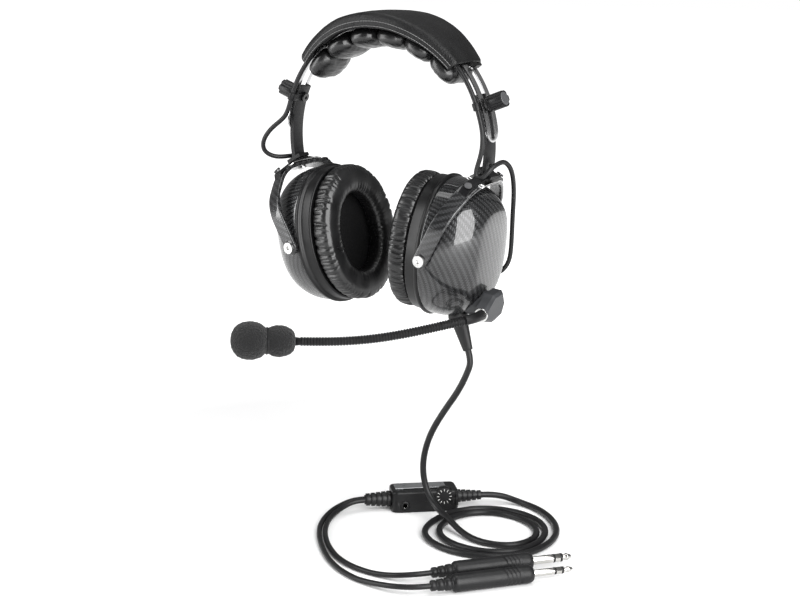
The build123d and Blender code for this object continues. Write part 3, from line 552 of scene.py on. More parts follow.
# %% Shell form
SHELL = [(-4.0, 45.5, 55.4, 0, 2.6, 2.05), (-3.0, 45.9, 55.8, 0, 2.6, 2.05),
         (3.0, 45.9, 55.8, 0, 2.6, 2.05), (9.0, 45.3, 55.2, 0, 2.6, 2.08),
         (15.0, 43.9, 53.7, 0, 2.7, 2.12), (21.0, 41.4, 51.0, 0.2, 2.9, 2.2),
         (26.0, 38.3, 47.6, 0.5, 3.1, 2.3), (30.0, 35.0, 43.9, 0.8, 3.3, 2.4),
         (33.0, 31.8, 40.5, 1.1, 3.5, 2.5), (35.0, 29.0, 37.6, 1.3, 3.6, 2.5),
         (36.2, 26.8, 35.3, 1.4, 3.7, 2.5), (36.9, 24.6, 33.0, 1.5, 3.8, 2.45),
         (37.4, 21.0, 28.8, 1.6, 3.8, 2.4), (37.9, 15.0, 21.0, 1.6, 3.8, 2.3),
         (38.2, 8.0, 11.5, 1.6, 3.8, 2.2), (38.3, 0.4, 0.6, 1.6, 3.8, 2.0)]


def smooth_sections(sections, per=4):
    """More sections between the given ones, on a smooth line through them."""
    values = np.array(sections, float)
    out = []
    for i in range(len(values) - 1):
        p0, p1, p2, p3 = values[max(i - 1, 0)], values[i], values[i
                                                                  + 1], values[min(i + 2,
                                                                                   len(values) - 1)]
        for k in range(per):
            t = k / per
            out.append(0.5 * (2 * p1 + (p2 - p0) * t + (2 * p0 - 5 * p1 + 4 * p2 - p3) * t * t
                              + (3 * p1 - p0 - 3 * p2 + p3) * t ** 3))
    out.append(values[-1])
    return [tuple(v) for v in out]


# Cosine and sine of the angle at which the weave lies on the shell.
WEAVE_COS, WEAVE_SIN = 0.966, 0.259


def shell(side):
    rows = np.array(rings(smooth_sections(SHELL), 192))
    crown = rows[-1].mean(0)
    # The map's centre is the shell's outer middle, and its radius is the distance along the
    # surface.
    steps = np.linalg.norm(np.diff(rows[::-1], axis=0), axis=2)
    reach = np.vstack([np.zeros(rows.shape[1]), np.cumsum(steps, 0)])[::-1]
    flat = rows[:, :, 1:] - crown[1:]
    direction = flat / np.maximum(np.linalg.norm(flat, axis=2, keepdims=True), 1e-6)
    uvs = direction * reach[:, :, None] * MM
    turned_uvs = np.stack([uvs[..., 0] * WEAVE_COS - uvs[..., 1] * WEAVE_SIN,
                           uvs[..., 1] * WEAVE_COS + uvs[..., 0] * WEAVE_SIN], -1)
    made = grid(f"shell_{side}", rows, carbon, cap_end=True, uvs=turned_uvs)
    return settle(made, cup_place(side), side)


# %% Flange under the seal
FLANGE = [(-15.0, 38.0, 51.0), (-17.0, 39.5, 52.6), (-17.3, 41.0, 54.0), (-16.9, 41.8, 54.8),
          (-16.0, 42.1, 55.0), (-9.0, 42.4, 55.3), (-8.1, 42.8, 55.6), (-7.8, 44.2, 56.4),
          (-7.3, 45.4, 57.1), (-6.6, 46.0, 57.4), (-4.9, 46.2, 57.5), (-4.2, 45.9, 57.0),
          (-3.9, 45.2, 55.8), (-3.9, 42.0, 52.0)]


def flange(side):
    rows = rings([(x, y, z, 0, CUP_Z, 2.05) for x, y, z in FLANGE], 176)
    made = grid(f"flange_{side}", rows, satin_plastic)
    return settle(made, cup_place(side), side)


# %% Pleated ear seal
HOLE_Y, HOLE_Z, SEAL_Y, SEAL_Z = 21.5, 32.0, 42.0, 55.6
PLEATS, FOLDS = 92, 64


def signed(value, power):
    return np.sign(value) * np.abs(value) ** power


def ear_seal(side, seed):
    """A stuffed oval ring: smooth on its face, gathered into pleats round its sides."""
    around, across = 720, 60
    rng = np.random.default_rng(seed)
    a = np.linspace(0, 2 * math.pi, around, endpoint=False)[:, None]
    w = np.linspace(0, 2 * math.pi, across, endpoint=False)[None, :]
    share = 0.5 + 0.5 * signed(np.cos(w), 0.72)
    half_y, half_z = HOLE_Y + (SEAL_Y - HOLE_Y) * share, HOLE_Z + (SEAL_Z - HOLE_Z) * share
    x = -26.4 - 9.4 * signed(np.sin(w), 0.70)
    outer = np.clip(np.cos(w) * 1.7, 0, 1) * np.clip((np.cos(w - math.pi * 1.92) + 0.35) * 1.2, 0,
                                                     1)
    inner = np.clip(-np.cos(w) * 1.4, 0, 1) * 0.55
    depth = np.zeros((around, across))
    for k in range(PLEATS):
        at = 2 * math.pi * (k + rng.uniform(-0.38, 0.38)) / PLEATS
        width, slant = rng.uniform(0.012, 0.026), rng.uniform(-0.035, 0.035)
        middle, spread = rng.uniform(-0.55, 0.75), rng.uniform(0.5, 1.3)
        ww = (w + math.pi) % (2 * math.pi) - math.pi
        apart = (a - at - slant * ww + math.pi) % (2 * math.pi) - math.pi
        along = np.exp(-((ww + middle) / spread) ** 4)
        depth += rng.uniform(0.5, 1.7) * np.exp(-(apart / width) ** 2) * along * outer
    for k in range(FOLDS):
        at, width = 2 * math.pi * (k + rng.uniform(-0.4, 0.4)) / FOLDS, rng.uniform(0.015, 0.035)
        apart = (a - at + math.pi) % (2 * math.pi) - math.pi
        depth += rng.uniform(0.2, 0.8) * np.exp(-(apart / width) ** 2) * inner
    seam = 0.25 * np.exp(-((w - math.pi * 0.30) / 0.09) ** 2) + 0.7 * np.exp(-((w - math.pi * 1.72)
                                                                               / 0.09) ** 2)
    face_roll = 0.28 * np.sin(a * 9 + 1.3) * np.sin(a * 4 + seed) * np.clip(np.sin(w), 0, 1)
    inwards = np.minimum(depth, 2.2) + seam
    y = (half_y - inwards * np.cos(w)) * np.cos(a)
    z = CUP_Z + (half_z - inwards * np.cos(w)) * np.sin(a)
    x = x + inwards * np.sin(w) * 0.8 + face_roll
    rows = np.stack([x + 0 * a, y, z], -1)
    made = grid(f"ear_seal_skin_{side}", rows, soft_leather, loop=True)
    return settle(face_outwards(made), cup_place(side), side)


# %% Cloth behind the ear hole
def ear_cloth_disc(side):
    sections = [(-12.0, 38.5, 51.5), (-14.6, 38.0, 51.0), (-15.3, 30.0, 42.0), (-15.0, 20.0, 29.0),
                (-14.4, 10.0, 15.0), (-14.2, 0.5, 0.7)]
    made = grid(f"ear_cloth_{side}", rings([(x, y, z, 0, CUP_Z, 2.0) for x, y, z in sections], 96),
                ear_cloth, cap_end=True)
    made.data.flip_normals()
    return settle(made, cup_place(side), side)


# %% Cups
for side in ("l", "r"):
    body = f"cup_{side}"
    made = [(shell(side), "cup_shell", "carbon_gloss"),
            (flange(side), "seal_flange", "black_plastic"),
            (ear_seal(side, 3 if side == "l" else 8), "ear_seal", "leather_black"),
            (ear_cloth_disc(side), "cup_foam", "black_foam")]
    for piece, node, slot_name in made:
        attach(piece, body)
        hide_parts(f"{node}_{side}")
print("cups made")

# %% [markdown]
# ## Yokes
# A flat carbon strap bends over each cup to its two pivot screws. It could be a curve with a bevel
# object, but a section swept along points takes a UV map in metres, which the weave needs.

# %% Yoke straps
HALF, TOP, CORNER, SHOULDER = 49.0, 65.0, 26.5, 34.0


def strap_line():
    """The strap's middle line in its own YZ plane, from one pivot over the crown to the other."""
    reach = SHOULDER * math.tan(math.radians(22.5))
    centre_low = (HALF - SHOULDER, TOP - CORNER - reach)
    centre_high = (HALF - CORNER - reach, TOP - SHOULDER)
    points = [(HALF, -3.0 + k * (centre_low[1] + 3.0) / 10) for k in range(10)]
    points += [(centre_low[0] + SHOULDER * math.cos(math.radians(a)),
                centre_low[1] + SHOULDER * math.sin(math.radians(a))) for a in range(0, 45, 5)]
    points += [(centre_high[0] + SHOULDER * math.cos(math.radians(a)),
                centre_high[1] + SHOULDER * math.sin(math.radians(a))) for a in range(45, 91, 5)]
    points += [(centre_high[0] * (1 - k / 4), TOP) for k in range(1, 4)]
    return points + [(0.0, TOP)] + [(-y, z) for y, z in reversed(points)]


def rounded_section(width, thick, radius, per=4):
    corners = [(width / 2 - radius, thick / 2 - radius, 0),
               (-width / 2 + radius, thick / 2 - radius, 90),
               (-width / 2 + radius, -thick / 2 + radius, 180),
               (width / 2 - radius, -thick / 2 + radius, 270)]
    return [(x + radius * math.cos(math.radians(start + 90 * k / per)),
             z + radius * math.sin(math.radians(start + 90 * k / per))) for x, z, start in corners
            for k in range(per + 1)]


for side in ("l", "r"):
    line = strap_line()
    path = [(0.0, y, z) for y, z in line]
    ups = []
    for i in range(len(line)):
        (y0, z0), (y1, z1) = line[max(i - 1, 0)], line[min(i + 1, len(line) - 1)]
        ups.append((0.0, z0 - z1, y1 - y0))
    strap = sweep(f"yoke_strap_{side}", path, rounded_section(12.4, 3.2, 1.0), carbon, ups)
    settle(strap, yoke_place(side), side)
    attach(strap, f"yoke_{side}")
    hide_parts(f"stirrup_{side}")
    for end, sign in (("front", -1), ("back", 1)):
        profile = [(0.0, -1.75), (5.6, -1.75), (6.3, -1.3), (6.5, -0.5), (6.5, 0.6), (6.2, 1.35),
                   (5.4, 1.8), (0.0, 1.8)]
        ear = turned(f"yoke_ear_{end}_{side}", profile, carbon,
                     yoke_place(side) @ Matrix.Translation((0, sign * HALF, 0))
                     @ turn(-90 * sign, "X"), 40, side)
        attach(ear, f"yoke_{side}")
    saddle_path = [(0, -17.5, 65.6), (0, -13.0, 67.0), (0, -6.0, 67.35), (0, 6.0, 67.35),
                   (0, 13.0, 67.0), (0, 17.5, 65.6)]
    saddle = sweep(f"foot_saddle_{side}", saddle_path, rounded_section(15.2, 1.1, 0.4),
                   bright_steel, [(0, 0, 1)] * 6)
    settle(saddle, yoke_place(side), side)
    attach(saddle, f"yoke_{side}")
print("yokes made")

# %% [markdown]
# ## Headband
# The spring is covered by grained leather with a stitched skirt, over six stuffed lobes. The cover
# could be simulated as cloth, but leather is stretched tight there, so a skin over outlines with a
# slight ripple stands for it. Each stitch is a small capsule, because bump alone gives no shape at
# an
# edge. The lobes are swollen ovals, with noise for their creases.

# %% Cover
CROWN_Z, CROWN, EDGE_DROP = -68.0, 95.0, 1.5
SKIRT, COVER_STEPS, STITCHES = 90.6, 180, 62
# How far the crown's centre lies above the arch's, and the square of that.
RISE, RISE_SQUARED = 8.6, 73.96


def half_width(x):
    x = abs(x)
    if x <= 25:
        return 29.5
    if x <= 60:
        return 29.5 - 6.5 * ((x - 25) / 35) ** 1.3
    return 23.0 - 8.5 * (x - 60) / 32


def skirt_radius(phi, radius):
    """Distance from the crown's centre to a circle about the arch's centre."""
    c = RISE * math.cos(phi)
    return -c + math.sqrt(c * c - RISE_SQUARED + radius * radius)


def cover_profile(phi):
    """Points of the cover's section: share of the half width, and distance from the crown's centre."""
    low, edge = skirt_radius(phi, SKIRT), CROWN - EDGE_DROP
    rise = edge - low
    front = [(0.90, low + 1.2), (0.93, low + 0.2), (0.97, low - 0.1), (1.0, low + 0.5),
             (1.015, low + rise * 0.25), (1.02, low + rise * 0.5), (1.01, low + rise * 0.72),
             (0.985, low + rise * 0.9), (0.95, edge + 0.1), (0.90, edge + 0.55)]
    crown = [(f, CROWN - (EDGE_DROP - 0.5) * (f / 0.95) ** 2 + 0.1)
             for f in (0.8, 0.68, 0.55, 0.4, 0.25, 0.1)]
    half = [(-f, r) for f, r in front + crown]
    return half + [(f, r) for f, r in reversed(front + crown)]


def cover_point(phi, share, radius):
    x = radius * math.sin(phi)
    return Vector((x, share * half_width(x), CROWN_Z + radius * math.cos(phi)))


spread = math.radians(53.2)
rows = []
for i in range(COVER_STEPS + 1):
    phi = -spread + 2 * spread * i / COVER_STEPS
    end = max(0.0, 1 - min(i, COVER_STEPS - i) / 3)
    row = []
    for share, radius in cover_profile(phi):
        p = cover_point(phi, share * (1 - 0.03 * end), radius - 1.0 * end * end)
        ripple = noise.noise(p * 0.045) * 0.35 + noise.noise(p * 0.16) * 0.12
        row.append(p + Vector((math.sin(phi), 0, math.cos(phi))) * ripple)
    rows.append(row)
cover = settle(face_outwards(grid("leather_cover", rows, leather, ring=False)), TO_METRES)
solid = cover.modifiers.new("thickness", "SOLIDIFY")
solid.thickness = 1.1 * MM
solid.offset = -1
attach(cover, "headband")
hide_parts("headband_cover")


# %% Stitching on the cover's skirt
def capsule(start, end, radius):
    axis = (end - start)
    place = Matrix.Translation(start) @ axis.to_track_quat("Z", "Y").to_matrix().to_4x4()
    profile = [(0.02, -radius), (radius * 0.7, -radius * 0.7), (radius, 0), (radius, axis.length),
               (radius * 0.7, axis.length + radius * 0.7), (0.02, axis.length + radius)]
    rows = [[place @ Vector((r * math.cos(k * math.pi / 3), r * math.sin(k * math.pi / 3), z))
             for k in range(6)] for r, z in profile]
    return rows


def stitches(name, runs, radius, surface):
    points, faces = [], []
    for start, end in runs:
        base = len(points)
        rows = capsule(start, end, radius)
        for row in rows:
            points += [tuple(p) for p in row]
        for i in range(len(rows) - 1):
            for j in range(6):
                k = (j + 1) % 6
                faces.append((base + 6 * i + j, base + 6 * i + k, base + 6 * i + 6 + k,
                              base + 6 * i + 6 + j))
    return settle(face_outwards(mesh_object(name, points, faces, surface)), TO_METRES)


runs = []
for sign in (-1, 1):
    for lift in (0.13, 0.46):
        for k in range(STITCHES):
            pair = []
            for step in (k + 0.14, k + 0.86):
                phi = -spread * 0.985 + 2 * spread * 0.985 * step / STITCHES
                low, edge = skirt_radius(phi, SKIRT), CROWN - EDGE_DROP
                share = 1.014 if lift < 0.3 else 1.021
                pair.append(cover_point(phi, sign * share, low + (edge - low) * lift))
            runs.append(tuple(pair))
sewing = stitches("cover_stitches", runs, 0.26, thread)
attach(sewing, "headband")

# %% Stuffed lobes of the head pad
LOBE_PITCH, LOBE_RADIUS, LOBE_HEIGHT, LOBE_SPREAD = 17.6, 84.0, 9.4, 9.35
pad_parts = []
for k in range(6):
    middle = (k - 2.5) * LOBE_PITCH
    half = 26.0 - 1.5 * abs(k - 2.5) ** 1.5
    rows = []
    for i in range(45):
        lat = -1.53 + 3.06 * i / 44
        row = []
        for j in range(72):
            lon = 2 * math.pi * j / 72
            cl, sl = math.cos(lat), math.sin(lat)
            cp, sp = math.copysign(abs(math.cos(lon)) ** 0.78,
                                   math.cos(lon)), math.copysign(abs(math.sin(lon)) ** 0.62,
                                                                 math.sin(lon))
            swell = abs(cl) ** 0.72
            across_share, y_share = swell * cp, swell * sp
            deep = math.copysign(abs(sl) ** 0.85, sl)
            radius = LOBE_RADIUS + LOBE_HEIGHT * deep * (1 - 0.16 * y_share ** 2)
            angle = middle + LOBE_SPREAD * across_share
            y = half * y_share
            p = arch(radius, angle, y)
            crease = noise.noise(Vector((angle * 0.5, y * 0.11,
                                         k * 7.0))) * 0.5 + noise.noise(Vector((angle * 1.3,
                                                                                y * 0.05, k))) * 0.3
            edge = abs(across_share) ** 3
            pucker = 0.35 * edge * math.sin(y * 1.15 + k)
            row.append(p + (p - arch(LOBE_RADIUS, middle, y)).normalized() * (crease + pucker))
        rows.append(row)
    lobe = grid(f"lobe_{k}", rows, soft_leather, cap_start=True, cap_end=True)
    pad_parts.append(face_outwards(lobe))
pad = settle(join("stuffed_pad", pad_parts), TO_METRES)
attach(pad, "headband")
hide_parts("head_pad")
print("headband made")

# %% [markdown]
# ## Lead between the cups
# One thin cable runs under the cover. At each side it leaves its clip, passes the swivel and enters
# the cup. It could be one tube, but it crosses two joints. So it is two tubes at each side, split
# where the lead runs down the yoke.

# %% Lead routes
LEAD_ARC, LEAD_Y, LEAD_RADIUS = 94.6, -12.2, 1.9
LEAD_ON_ARM = {"l": [(95.3, -12.2, -64.5), (94.0, -12.2, -80.0), (89.5, -12.2, -91.0),
                     (88.0, -12.0, -99.0), (94.5, -11.5, -99.5), (99.5, -9.0, -92.0),
                     (101.5, -1.0, -88.5)], "r": [(95.0, -12.2, -62.0), (106.0, -15.0, -69.0),
                                                  (116.0, -16.5, -80.0), (119.0, -14.0, -91.0),
                                                  (113.0, -5.0, -97.0), (105.0, 4.0, -96.0)]}
LEAD_ON_YOKE = {"l": [(103.3, 6.3, -86.5), (105.0, 14.0, -93.0), (102.5, 22.0, -104.0),
                      (96.0, 34.0, -118.0), (88.5, 45.0, -134.0)],
                "r": [(97.7, 12.3, -95.1), (94.0, 22.0, -101.0), (91.0, 33.0, -112.0),
                      (87.5, 43.0, -126.0), (84.5, 50.0, -141.0)]}
LEAD_ON_CUP = [(31.0, 51.8, -5.0), (30.5, 51.0, -16.5), (24.5, 48.5, -26.0), (15.0, 44.0, -27.5),
               (7.0, 36.0, -25.7)]


def curve_points(points, per=12):
    """Points along a smooth line that keeps near its corners."""
    points = [Vector(p) for p in points]
    knots = [points[0]] + points + [points[-1]]
    out = []
    for i in range(1, len(knots) - 2):
        p0, p1, p2, p3 = knots[i - 1], knots[i], knots[i + 1], knots[i + 2]
        for k in range(per):
            t = k / per
            out.append(((1 - t) ** 3 * p0 + (3 * t ** 3 - 6 * t * t + 4) * p1
                        + (-3 * t ** 3 + 3 * t * t + 3 * t + 1) * p2 + t ** 3 * p3) / 6)
    return [points[0]] + out + [points[-1]]


def tube(name, points, radius, surface, count=16):
    """A round tube whose rings turn with the path and never twist."""
    points = [Vector(p) for p in points]
    kept = [points[0]]
    for p in points[1:]:
        if (p - kept[-1]).length > 0.25:
            kept.append(p)
    radii = radius if callable(radius) else (lambda s: radius)
    ahead = (kept[1] - kept[0]).normalized()
    up = ahead.orthogonal().normalized()
    rows, run = [], 0.0
    for i, p in enumerate(kept):
        new = (kept[min(i + 1, len(kept) - 1)] - kept[max(i - 1, 0)]).normalized()
        up = (up - new * up.dot(new)).normalized()
        across = new.cross(up)
        run += (p - kept[i - 1]).length if i else 0.0
        r = radii(run)
        rows.append([p + across * (r * math.cos(a)) + up * (r * math.sin(a))
                     for a in np.linspace(0, 2 * math.pi, count, endpoint=False)])
    made = grid(name, rows, surface, cap_start=True, cap_end=True)
    return face_outwards(made)


# %% Leads
for side in ("l", "r"):
    held = [arch(LEAD_ARC, 44 + k * 2.9, LEAD_Y) for k in range(11)]
    on_cup = [TO_MM @ cup_place(side) @ Vector(p) for p in LEAD_ON_CUP]
    whole = curve_points(held + LEAD_ON_ARM[side] + LEAD_ON_YOKE[side] + on_cup)
    middle = min(range(len(whole)), key=lambda i: (whole[i] - Vector(LEAD_ON_YOKE[side][3])).length)
    upper = settle(tube(f"lead_upper_{side}", whole[:middle + 1], LEAD_RADIUS, rubber), TO_METRES,
                   side)
    lower = settle(tube(f"lead_lower_{side}", whole[middle:], LEAD_RADIUS, rubber), TO_METRES, side)
    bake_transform(upper)
    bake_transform(lower)
    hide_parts(f"lead_arm_{side}", f"lead_stirrup_{side}")
    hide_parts(f"lead_cup_{side}")
print("leads made")

# %% [markdown]
# ## Boom microphone
# A wound steel gooseneck carries a microphone under a foam windscreen, and a rubber relief guides
# the cord out of the cup. The winding could be bump, but then its outline would be straight, so the
# tube's radius rises and falls along it. The foam is a turned shape whose points noise moves a
# little, because an exact outline looks hard.

# %% Gooseneck
BOOM_ROUTE = [(45.2, -18.5, -39.0), (45.2, -33.0, -39.0), (35.5, -53.0, -41.0),
              (20.5, -73.5, -45.5), (-1.5, -99.5, -51.3), (-25.5, -123.5, -54.0),
              (-50.7, -143.9, -54.7)]
NECK_RADIUS, WIRE_RELIEF, WIRE_PITCH = 3.25, 0.42, 2.3
start = (Vector(BOOM_ROUTE[1]) + Vector(BOOM_ROUTE[2])) / 2
neck = curve_points([start, *BOOM_ROUTE[2:]], 90)
wound = settle(tube("gooseneck_wound", neck, lambda s: NECK_RADIUS
                    + WIRE_RELIEF * math.cos(2 * math.pi * s / WIRE_PITCH), black_metal, 24),
               cup_place("l"))
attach(wound, "boom")
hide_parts("gooseneck")

# %% Foam windscreen
end, before = Vector(BOOM_ROUTE[-1]), Vector(BOOM_ROUTE[-2])
muff_place = cup_place("l") @ TO_MM @ towards(end, end - before)
profile = [(3.6, -0.6), (5.2, -1.4), (7.4, -0.6), (9.4, 1.6), (11.0, 4.8), (11.9, 8.6),
           (11.9, 12.0), (11.2, 15.2), (10.2, 17.2), (9.75, 18.4), (9.75, 20.4), (10.6, 21.4),
           (12.2, 23.4), (13.6, 26.6), (14.3, 30.4), (14.3, 34.0), (13.5, 38.0), (11.7, 41.6),
           (9.0, 44.2), (5.6, 45.8), (2.6, 46.4), (0.05, 46.5)]
fine = []
for (r0, z0), (r1, z1) in zip(profile, profile[1:]):
    fine += [(r0 + (r1 - r0) * k / 3, z0 + (z1 - z0) * k / 3) for k in range(3)]
fine.append(profile[-1])
muff = turned("foam_muff", fine, foam, None, 96)
for vertex in muff.data.vertices:
    p = vertex.co
    vertex.co = p + Vector((p.x, p.y, 0)).normalized() * (noise.noise(p * 0.35) * 0.35
                                                          + noise.noise(p * 1.3) * 0.16)
settle(muff, muff_place)
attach(muff, "boom")
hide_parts("mic_muff")
ring = turned("muff_cord", [(9.6 + 0.8 * math.cos(a), 19.4 + 0.8 * math.sin(a))
                            for a in np.linspace(0, 2 * math.pi, 13)], rubber, muff_place)
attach(ring, "boom")
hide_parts("muff_band")

# %% Nose ring of the boom's hub
nose = TO_MM @ towards((45.2, -22.6, -39.0), (0, -1, 0), (0, 0, 1))
collar = turned("boom_nose_ring", [(4.2, 0.0), (5.4, 0.0), (5.6, 0.3), (5.6, 1.5), (5.3, 1.9),
                                   (4.2, 1.9)], bright_steel, cup_place("l") @ nose)
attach(collar, "boom")

# %% Strain relief
gland_place = cup_place("l") @ TO_MM @ towards(GLAND_BASE, GLAND_TIP - GLAND_BASE, (1, 0, 0))
length = (GLAND_TIP - GLAND_BASE).length
profile = [(4.5, -3.0), (7.6, -1.0), (8.0, 0.6), (8.0, 2.2), (7.4, 3.2), (6.2, 3.8)]
profile += [(6.0 - 2.5 * t, 4.0 + (length - 4.0) * t)
            for t in np.linspace(0, 1, 14)] + [(3.2, length + 0.4), (2.5, length + 0.4)]
relief = turned("strain_relief", profile, rubber, None, 48)
for vertex in relief.data.vertices:
    if vertex.co.z > 3.6:
        vertex.co.x *= 1.18
        vertex.co.y *= 0.86
settle(relief, gland_place)
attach(relief, "cup_l")
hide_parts("cable_gland")
print("boom and strain relief made")

# %% [markdown]
# ## Clamps
# Each knob has a grey end face and a white line in one flute. A mask in the knob's material could
# paint them, but thin separate pieces have a crisp edge and need no unwrapping.

# %% Knob details
for side in ("l", "r"):
    out_line = arch(1.0, 70) - arch(0.0, 70)
    place = towards(arch(97.6, 70), out_line)
    cap = turned(f"knob_face_{side}", [(0.05, 16.25), (3.6, 16.2), (4.6, 16.3), (5.2, 16.1),
                                       (5.35, 15.8)], light_grey, place, 48, side)
    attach(cap, f"knob_{side}")
    bar = [[(4.9 + dx, dy, z) for dx, dy in ((0, -0.35), (0.75, -0.35), (0.75, 0.35), (0, 0.35))]
           for z in (5.2, 15.7)]
    line = settle(face_outwards(grid(f"knob_line_{side}", bar, white_paint, cap_start=True,
                                     cap_end=True, smooth=False)), place @ turn(-58, "Z"), side)
    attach(line, f"knob_{side}")

# %% [markdown]
# ## Volume box
# The box has grip ribs, a dial with white ticks, a small lens, a rim round the music socket and a
# blank
# plate. Booleans could cut them into the box, but pieces set on its faces leave its solid as it is.

# %% Dial
DIAL = (15.5, -9.4, 13.0)
DIAL_RADIUS, FLUTE_DEPTH, DIAL_STEPS = 7.7, 0.35, 160
dial_place = box_place @ Matrix.Translation(DIAL) @ turn(90, "X")
rows = []
for z, inset in ((-2.3, 0.9), (-2.3, 0.5), (-1.9, 0.0), (4.8, 0.0), (5.3, 0.5), (5.3, 0.9)):
    row = []
    for k in range(DIAL_STEPS):
        radius, a = DIAL_RADIUS - inset - FLUTE_DEPTH * (k % 4 > 1), 2 * math.pi * k / DIAL_STEPS
        row.append((radius * math.cos(a), radius * math.sin(a), z))
    rows.append(row)
dial = settle(face_outwards(grid("dial_wheel", rows, black_plastic, cap_start=True, cap_end=True)),
              dial_place)
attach(dial, "dial")
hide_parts("volume_dial")
runs = []
for k in range(12):
    a = 2 * math.pi * k / 12
    runs.append((Vector((4.6 * math.cos(a), 4.6 * math.sin(a), 5.32)),
                 Vector((6.2 * math.cos(a), 6.2 * math.sin(a), 5.32))))
ticks = stitches("dial_ticks", runs, 0.22, white_paint)
ticks.data.transform(TO_METRES.inverted())
settle(ticks, dial_place)
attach(ticks, "dial")

# %% Grips, lens and socket rim
grips = []
for k in range(5):
    x = 21.4 + 1.35 * k
    rows = [[(x + dx, y, z) for dx, z in ((0, 5.0), (0.7, 5.0), (0.7, 13.4), (0, 13.4))]
            for y in (-13.9, -13.1)]
    grips.append(face_outwards(grid(f"grip_{k}", rows, black_plastic, cap_start=True, cap_end=True,
                                    smooth=False)))
grip = settle(join("box_grips", grips), box_place)
lens = turned("box_lens", [(0.05, 0.75), (0.9, 0.6), (1.4, 0.2), (1.5, -0.3)], grey_plastic,
              box_place @ Matrix.Translation((-22.5, -7.5, 18.0)), 24)
rim = turned("socket_rim", [(1.9, -0.4), (1.95, 0.5), (3.4, 0.6), (3.9, 0.3), (4.1, -0.3)],
             black_plastic, box_place @ Matrix.Translation((-17.5, -13.5, 6.0)) @ turn(90, "X"), 40)
plate = [[(-3.0 + sx * (21.5 - inset), 3.4 + sy * (7.4 - inset), z) for sx,
          sy in ((-1, -1), (1, -1), (1, 1), (-1, 1))] for z,
         inset in ((17.9, 0.0), (18.25, 0.0), (18.45, 0.35))]
label = settle(face_outwards(grid("label_face", plate, label_silver, cap_start=True, cap_end=True,
                                  smooth=False)), box_place)
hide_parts("box_label_plate")
for made, slot_name in ((grip, "black_plastic"), (lens, "grey_plastic"), (rim, "black_plastic"),
                        (label, "silver_label")):
    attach(made, "cup_l")

# %% [markdown]
# ## Plugs
# Each soft handle has slanted grip grooves, and each shaft has black insulating rings. The grooves
# could be boolean cuts, but as valleys in the handle's own outline they run out softly, as moulded
# ones do.

# %% Plug handles and rings
for name, radius in (("phones", 3.175), ("mic", 2.615)):
    place = TO_METRES @ plug_frame(name)
    rows = []
    profile = [(0.0, 2.15), (0.2, 3.6), (0.6, 4.0), (3.6, 4.0), (4.1, 3.5), (5.2, 3.5), (5.7, 4.3),
               (9.4, 4.6), (9.9, 4.0), (11.0, 4.0), (11.5, 4.9), (15.2, 5.2), (15.8, 4.6),
               (16.8, 4.7), (17.4, 5.8), (18.6, 6.6), (20.5, 6.8)]
    profile += [(20.5 + k * 1.0, 6.8) for k in range(1, 57)] + [(78.0, 6.7), (79.6, 6.2),
                                                                (80.6, 5.4), (81.0, 4.2),
                                                                (81.0, 3.3)]
    for x, r in profile:
        row = []
        for k in range(72):
            a = 2 * math.pi * k / 72
            slant = x + 3.2 * math.cos(a)
            groove = sum(math.exp(-((slant - c) / 0.55) ** 2)
                         for c in (57.0, 60.2, 63.4, 66.6)) if 50 < x < 74 else 0.0
            row.append((x, (r - 0.7 * groove) * math.cos(a), (r - 0.7 * groove) * math.sin(a)))
        rows.append(row)
    handle = settle(face_outwards(grid(f"{name}_handle_grip", rows, rubber)), place)
    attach(handle, "cup_l")
    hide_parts(f"{name}_plug_handle")
    for k, at in enumerate((98.8, 104.6)):
        rim_line = [(radius + 0.02, at - 0.8), (radius + 0.08, at - 0.6), (radius + 0.08, at + 0.6),
                    (radius + 0.02, at + 0.8)]
        ring = turned(f"{name}_insulator_{k}", rim_line, black_plastic, place @ turn(90, "Y"), 40)
        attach(ring, "cup_l")
print("box and plugs made")

# %% [markdown]
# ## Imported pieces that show
# Screws, pins, clamps and the halves of the box are hard and exact. They could be made again as
# meshes, but their solids are already right. So they only get their own surface and a fine bevel,
# which catches the light along each edge.

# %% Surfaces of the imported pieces
looks = {"headband_spring": steel, "cover_tab": black_plastic, "lead_band": rubber,
         "boom_mount": grey_plastic, "boom_hub": grey_plastic, "boom_tube": black_metal,
         "mic_capsule": grey_plastic, "box_lower": black_plastic, "box_upper": black_plastic,
         "aux_jack": nickel, "box_boots": rubber, "phones_plug_shaft": nickel,
         "mic_plug_shaft": nickel}
for side in ("l", "r"):
    looks.update({f"slider_arm_{side}": black_metal, f"clamp_screw_{side}": dark_steel,
                  f"cable_clip_{side}": black_metal, f"swivel_pin_{side}": bright_steel,
                  f"clamp_knob_{side}": black_plastic, f"stirrup_bridge_{side}": black_metal,
                  f"stirrup_rivets_{side}": dark_steel, f"pivot_screws_{side}": bright_steel,
                  f"speaker_{side}": grey_plastic})
for node, surface in looks.items():
    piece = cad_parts[node]
    piece.data.materials.clear()
    piece.data.materials.append(surface)
    bevel(piece, 0.5 if node.startswith("box_") else 0.3)
left_over = sorted(n for n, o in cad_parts.items() if n not in looks and not o.hide_render)
print("packed pieces shown", len(looks), "without a look", left_over)

# %% [markdown]
# ## Cord lengths
# The lengths could be typed in, but read from the splines they stay true when a route changes.

# %% Cord facts
length_of(main_cord)
for name in ("phones", "mic"):
    made = plug_cords[name]
    length_of(made)

# %% [markdown]
# ## Studio
# A white floor under a white room, a large soft light from the right, one from the left, and one
# above.
# Small lamps would do for the shapes, but gloss carbon shows what it reflects, so they are large
# rectangles. The room is bright to the camera and dim as a light, which keeps the blacks black. The
# far floor gives off light, so that no horizon shows.

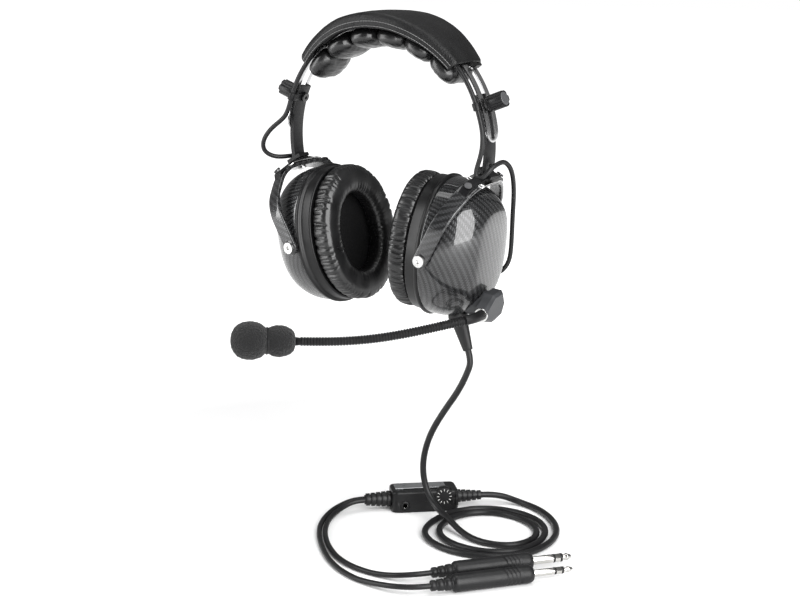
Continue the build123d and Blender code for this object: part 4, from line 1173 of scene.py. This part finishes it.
# %% Floor and lights
paling, inside, out = group("Floor paling", [("Vector", "NodeSocketVector", None)],
                            [("Far", "NodeSocketFloat")])
span = paling.nodes.new("ShaderNodeVectorMath")
span.operation = "LENGTH"
paling.links.new(inside.outputs["Vector"], span.inputs[0])
paling.links.new(fade(paling, span.outputs["Value"], 0.55, 1.15), out.inputs["Far"])

floor_look = bpy.data.materials.new("floor_white")
floor_look.use_nodes = True
tree = floor_look.node_tree
surface = tree.nodes["Principled BSDF"]
node = tree.nodes.new("ShaderNodeGroup")
node.node_tree = paling
tree.links.new(tree.nodes.new("ShaderNodeTexCoord").outputs["Object"], node.inputs["Vector"])
surface.inputs["Base Color"].default_value = (0.88, 0.88, 0.88, 1.0)
tree.links.new(blend_colours(tree, node.outputs["Far"], (0.0, 0.0, 0.0, 1.0), (1.0, 1.0, 1.0, 1.0)),
               surface.inputs["Emission Color"])
surface.inputs["Emission Strength"].default_value = 1.0
surface.inputs["Roughness"].default_value = 0.8
surface.inputs["Specular IOR Level"].default_value = 0.0
FLOOR_REACH, FLOOR_GAP = 12.0, 0.0002
floor_rows = [[(-FLOOR_REACH, y, FLOOR * MM - FLOOR_GAP), (FLOOR_REACH, y, FLOOR * MM - FLOOR_GAP)]
              for y in (-FLOOR_REACH, FLOOR_REACH)]
floor = grid("floor", floor_rows, floor_look, ring=False)

# %% White room that lights gently
world = bpy.data.worlds.new("white_room")
bpy.context.scene.world = world
world.use_nodes = True
tree = world.node_tree
seen_by = tree.nodes.new("ShaderNodeLightPath")
tree.links.new(fade(tree, seen_by.outputs["Is Camera Ray"], 0.0, 1.0, 0.20, 1.0),
               tree.nodes["Background"].inputs["Strength"])
tree.nodes["Background"].inputs["Color"].default_value = (1.0, 1.0, 1.0, 1.0)
bpy.context.scene.view_settings.view_transform = "Standard"
bpy.context.scene.view_settings.look = "None"


def soft_light(name, place, target, size, power):
    lamp = bpy.data.lights.new(name, "AREA")
    lamp.shape = "RECTANGLE"
    lamp.size, lamp.size_y = size
    lamp.energy = power
    made = bpy.data.objects.new(name, lamp)
    made.location = place
    made.rotation_euler = (Vector(target) - Vector(place)).to_track_quat("-Z", "Y").to_euler()
    bpy.context.collection.objects.link(made)


soft_light("key", (1.45, -0.75, 0.20), (0.05, 0.0, -0.18), (1.25, 2.3), 78)
soft_light("left_fill", (-1.2, -1.1, 0.2), (0.0, 0.0, -0.15), (0.7, 1.6), 24)
soft_light("top", (0.0, 0.1, 1.35), (0.0, 0.0, -0.2), (1.7, 1.0), 16)
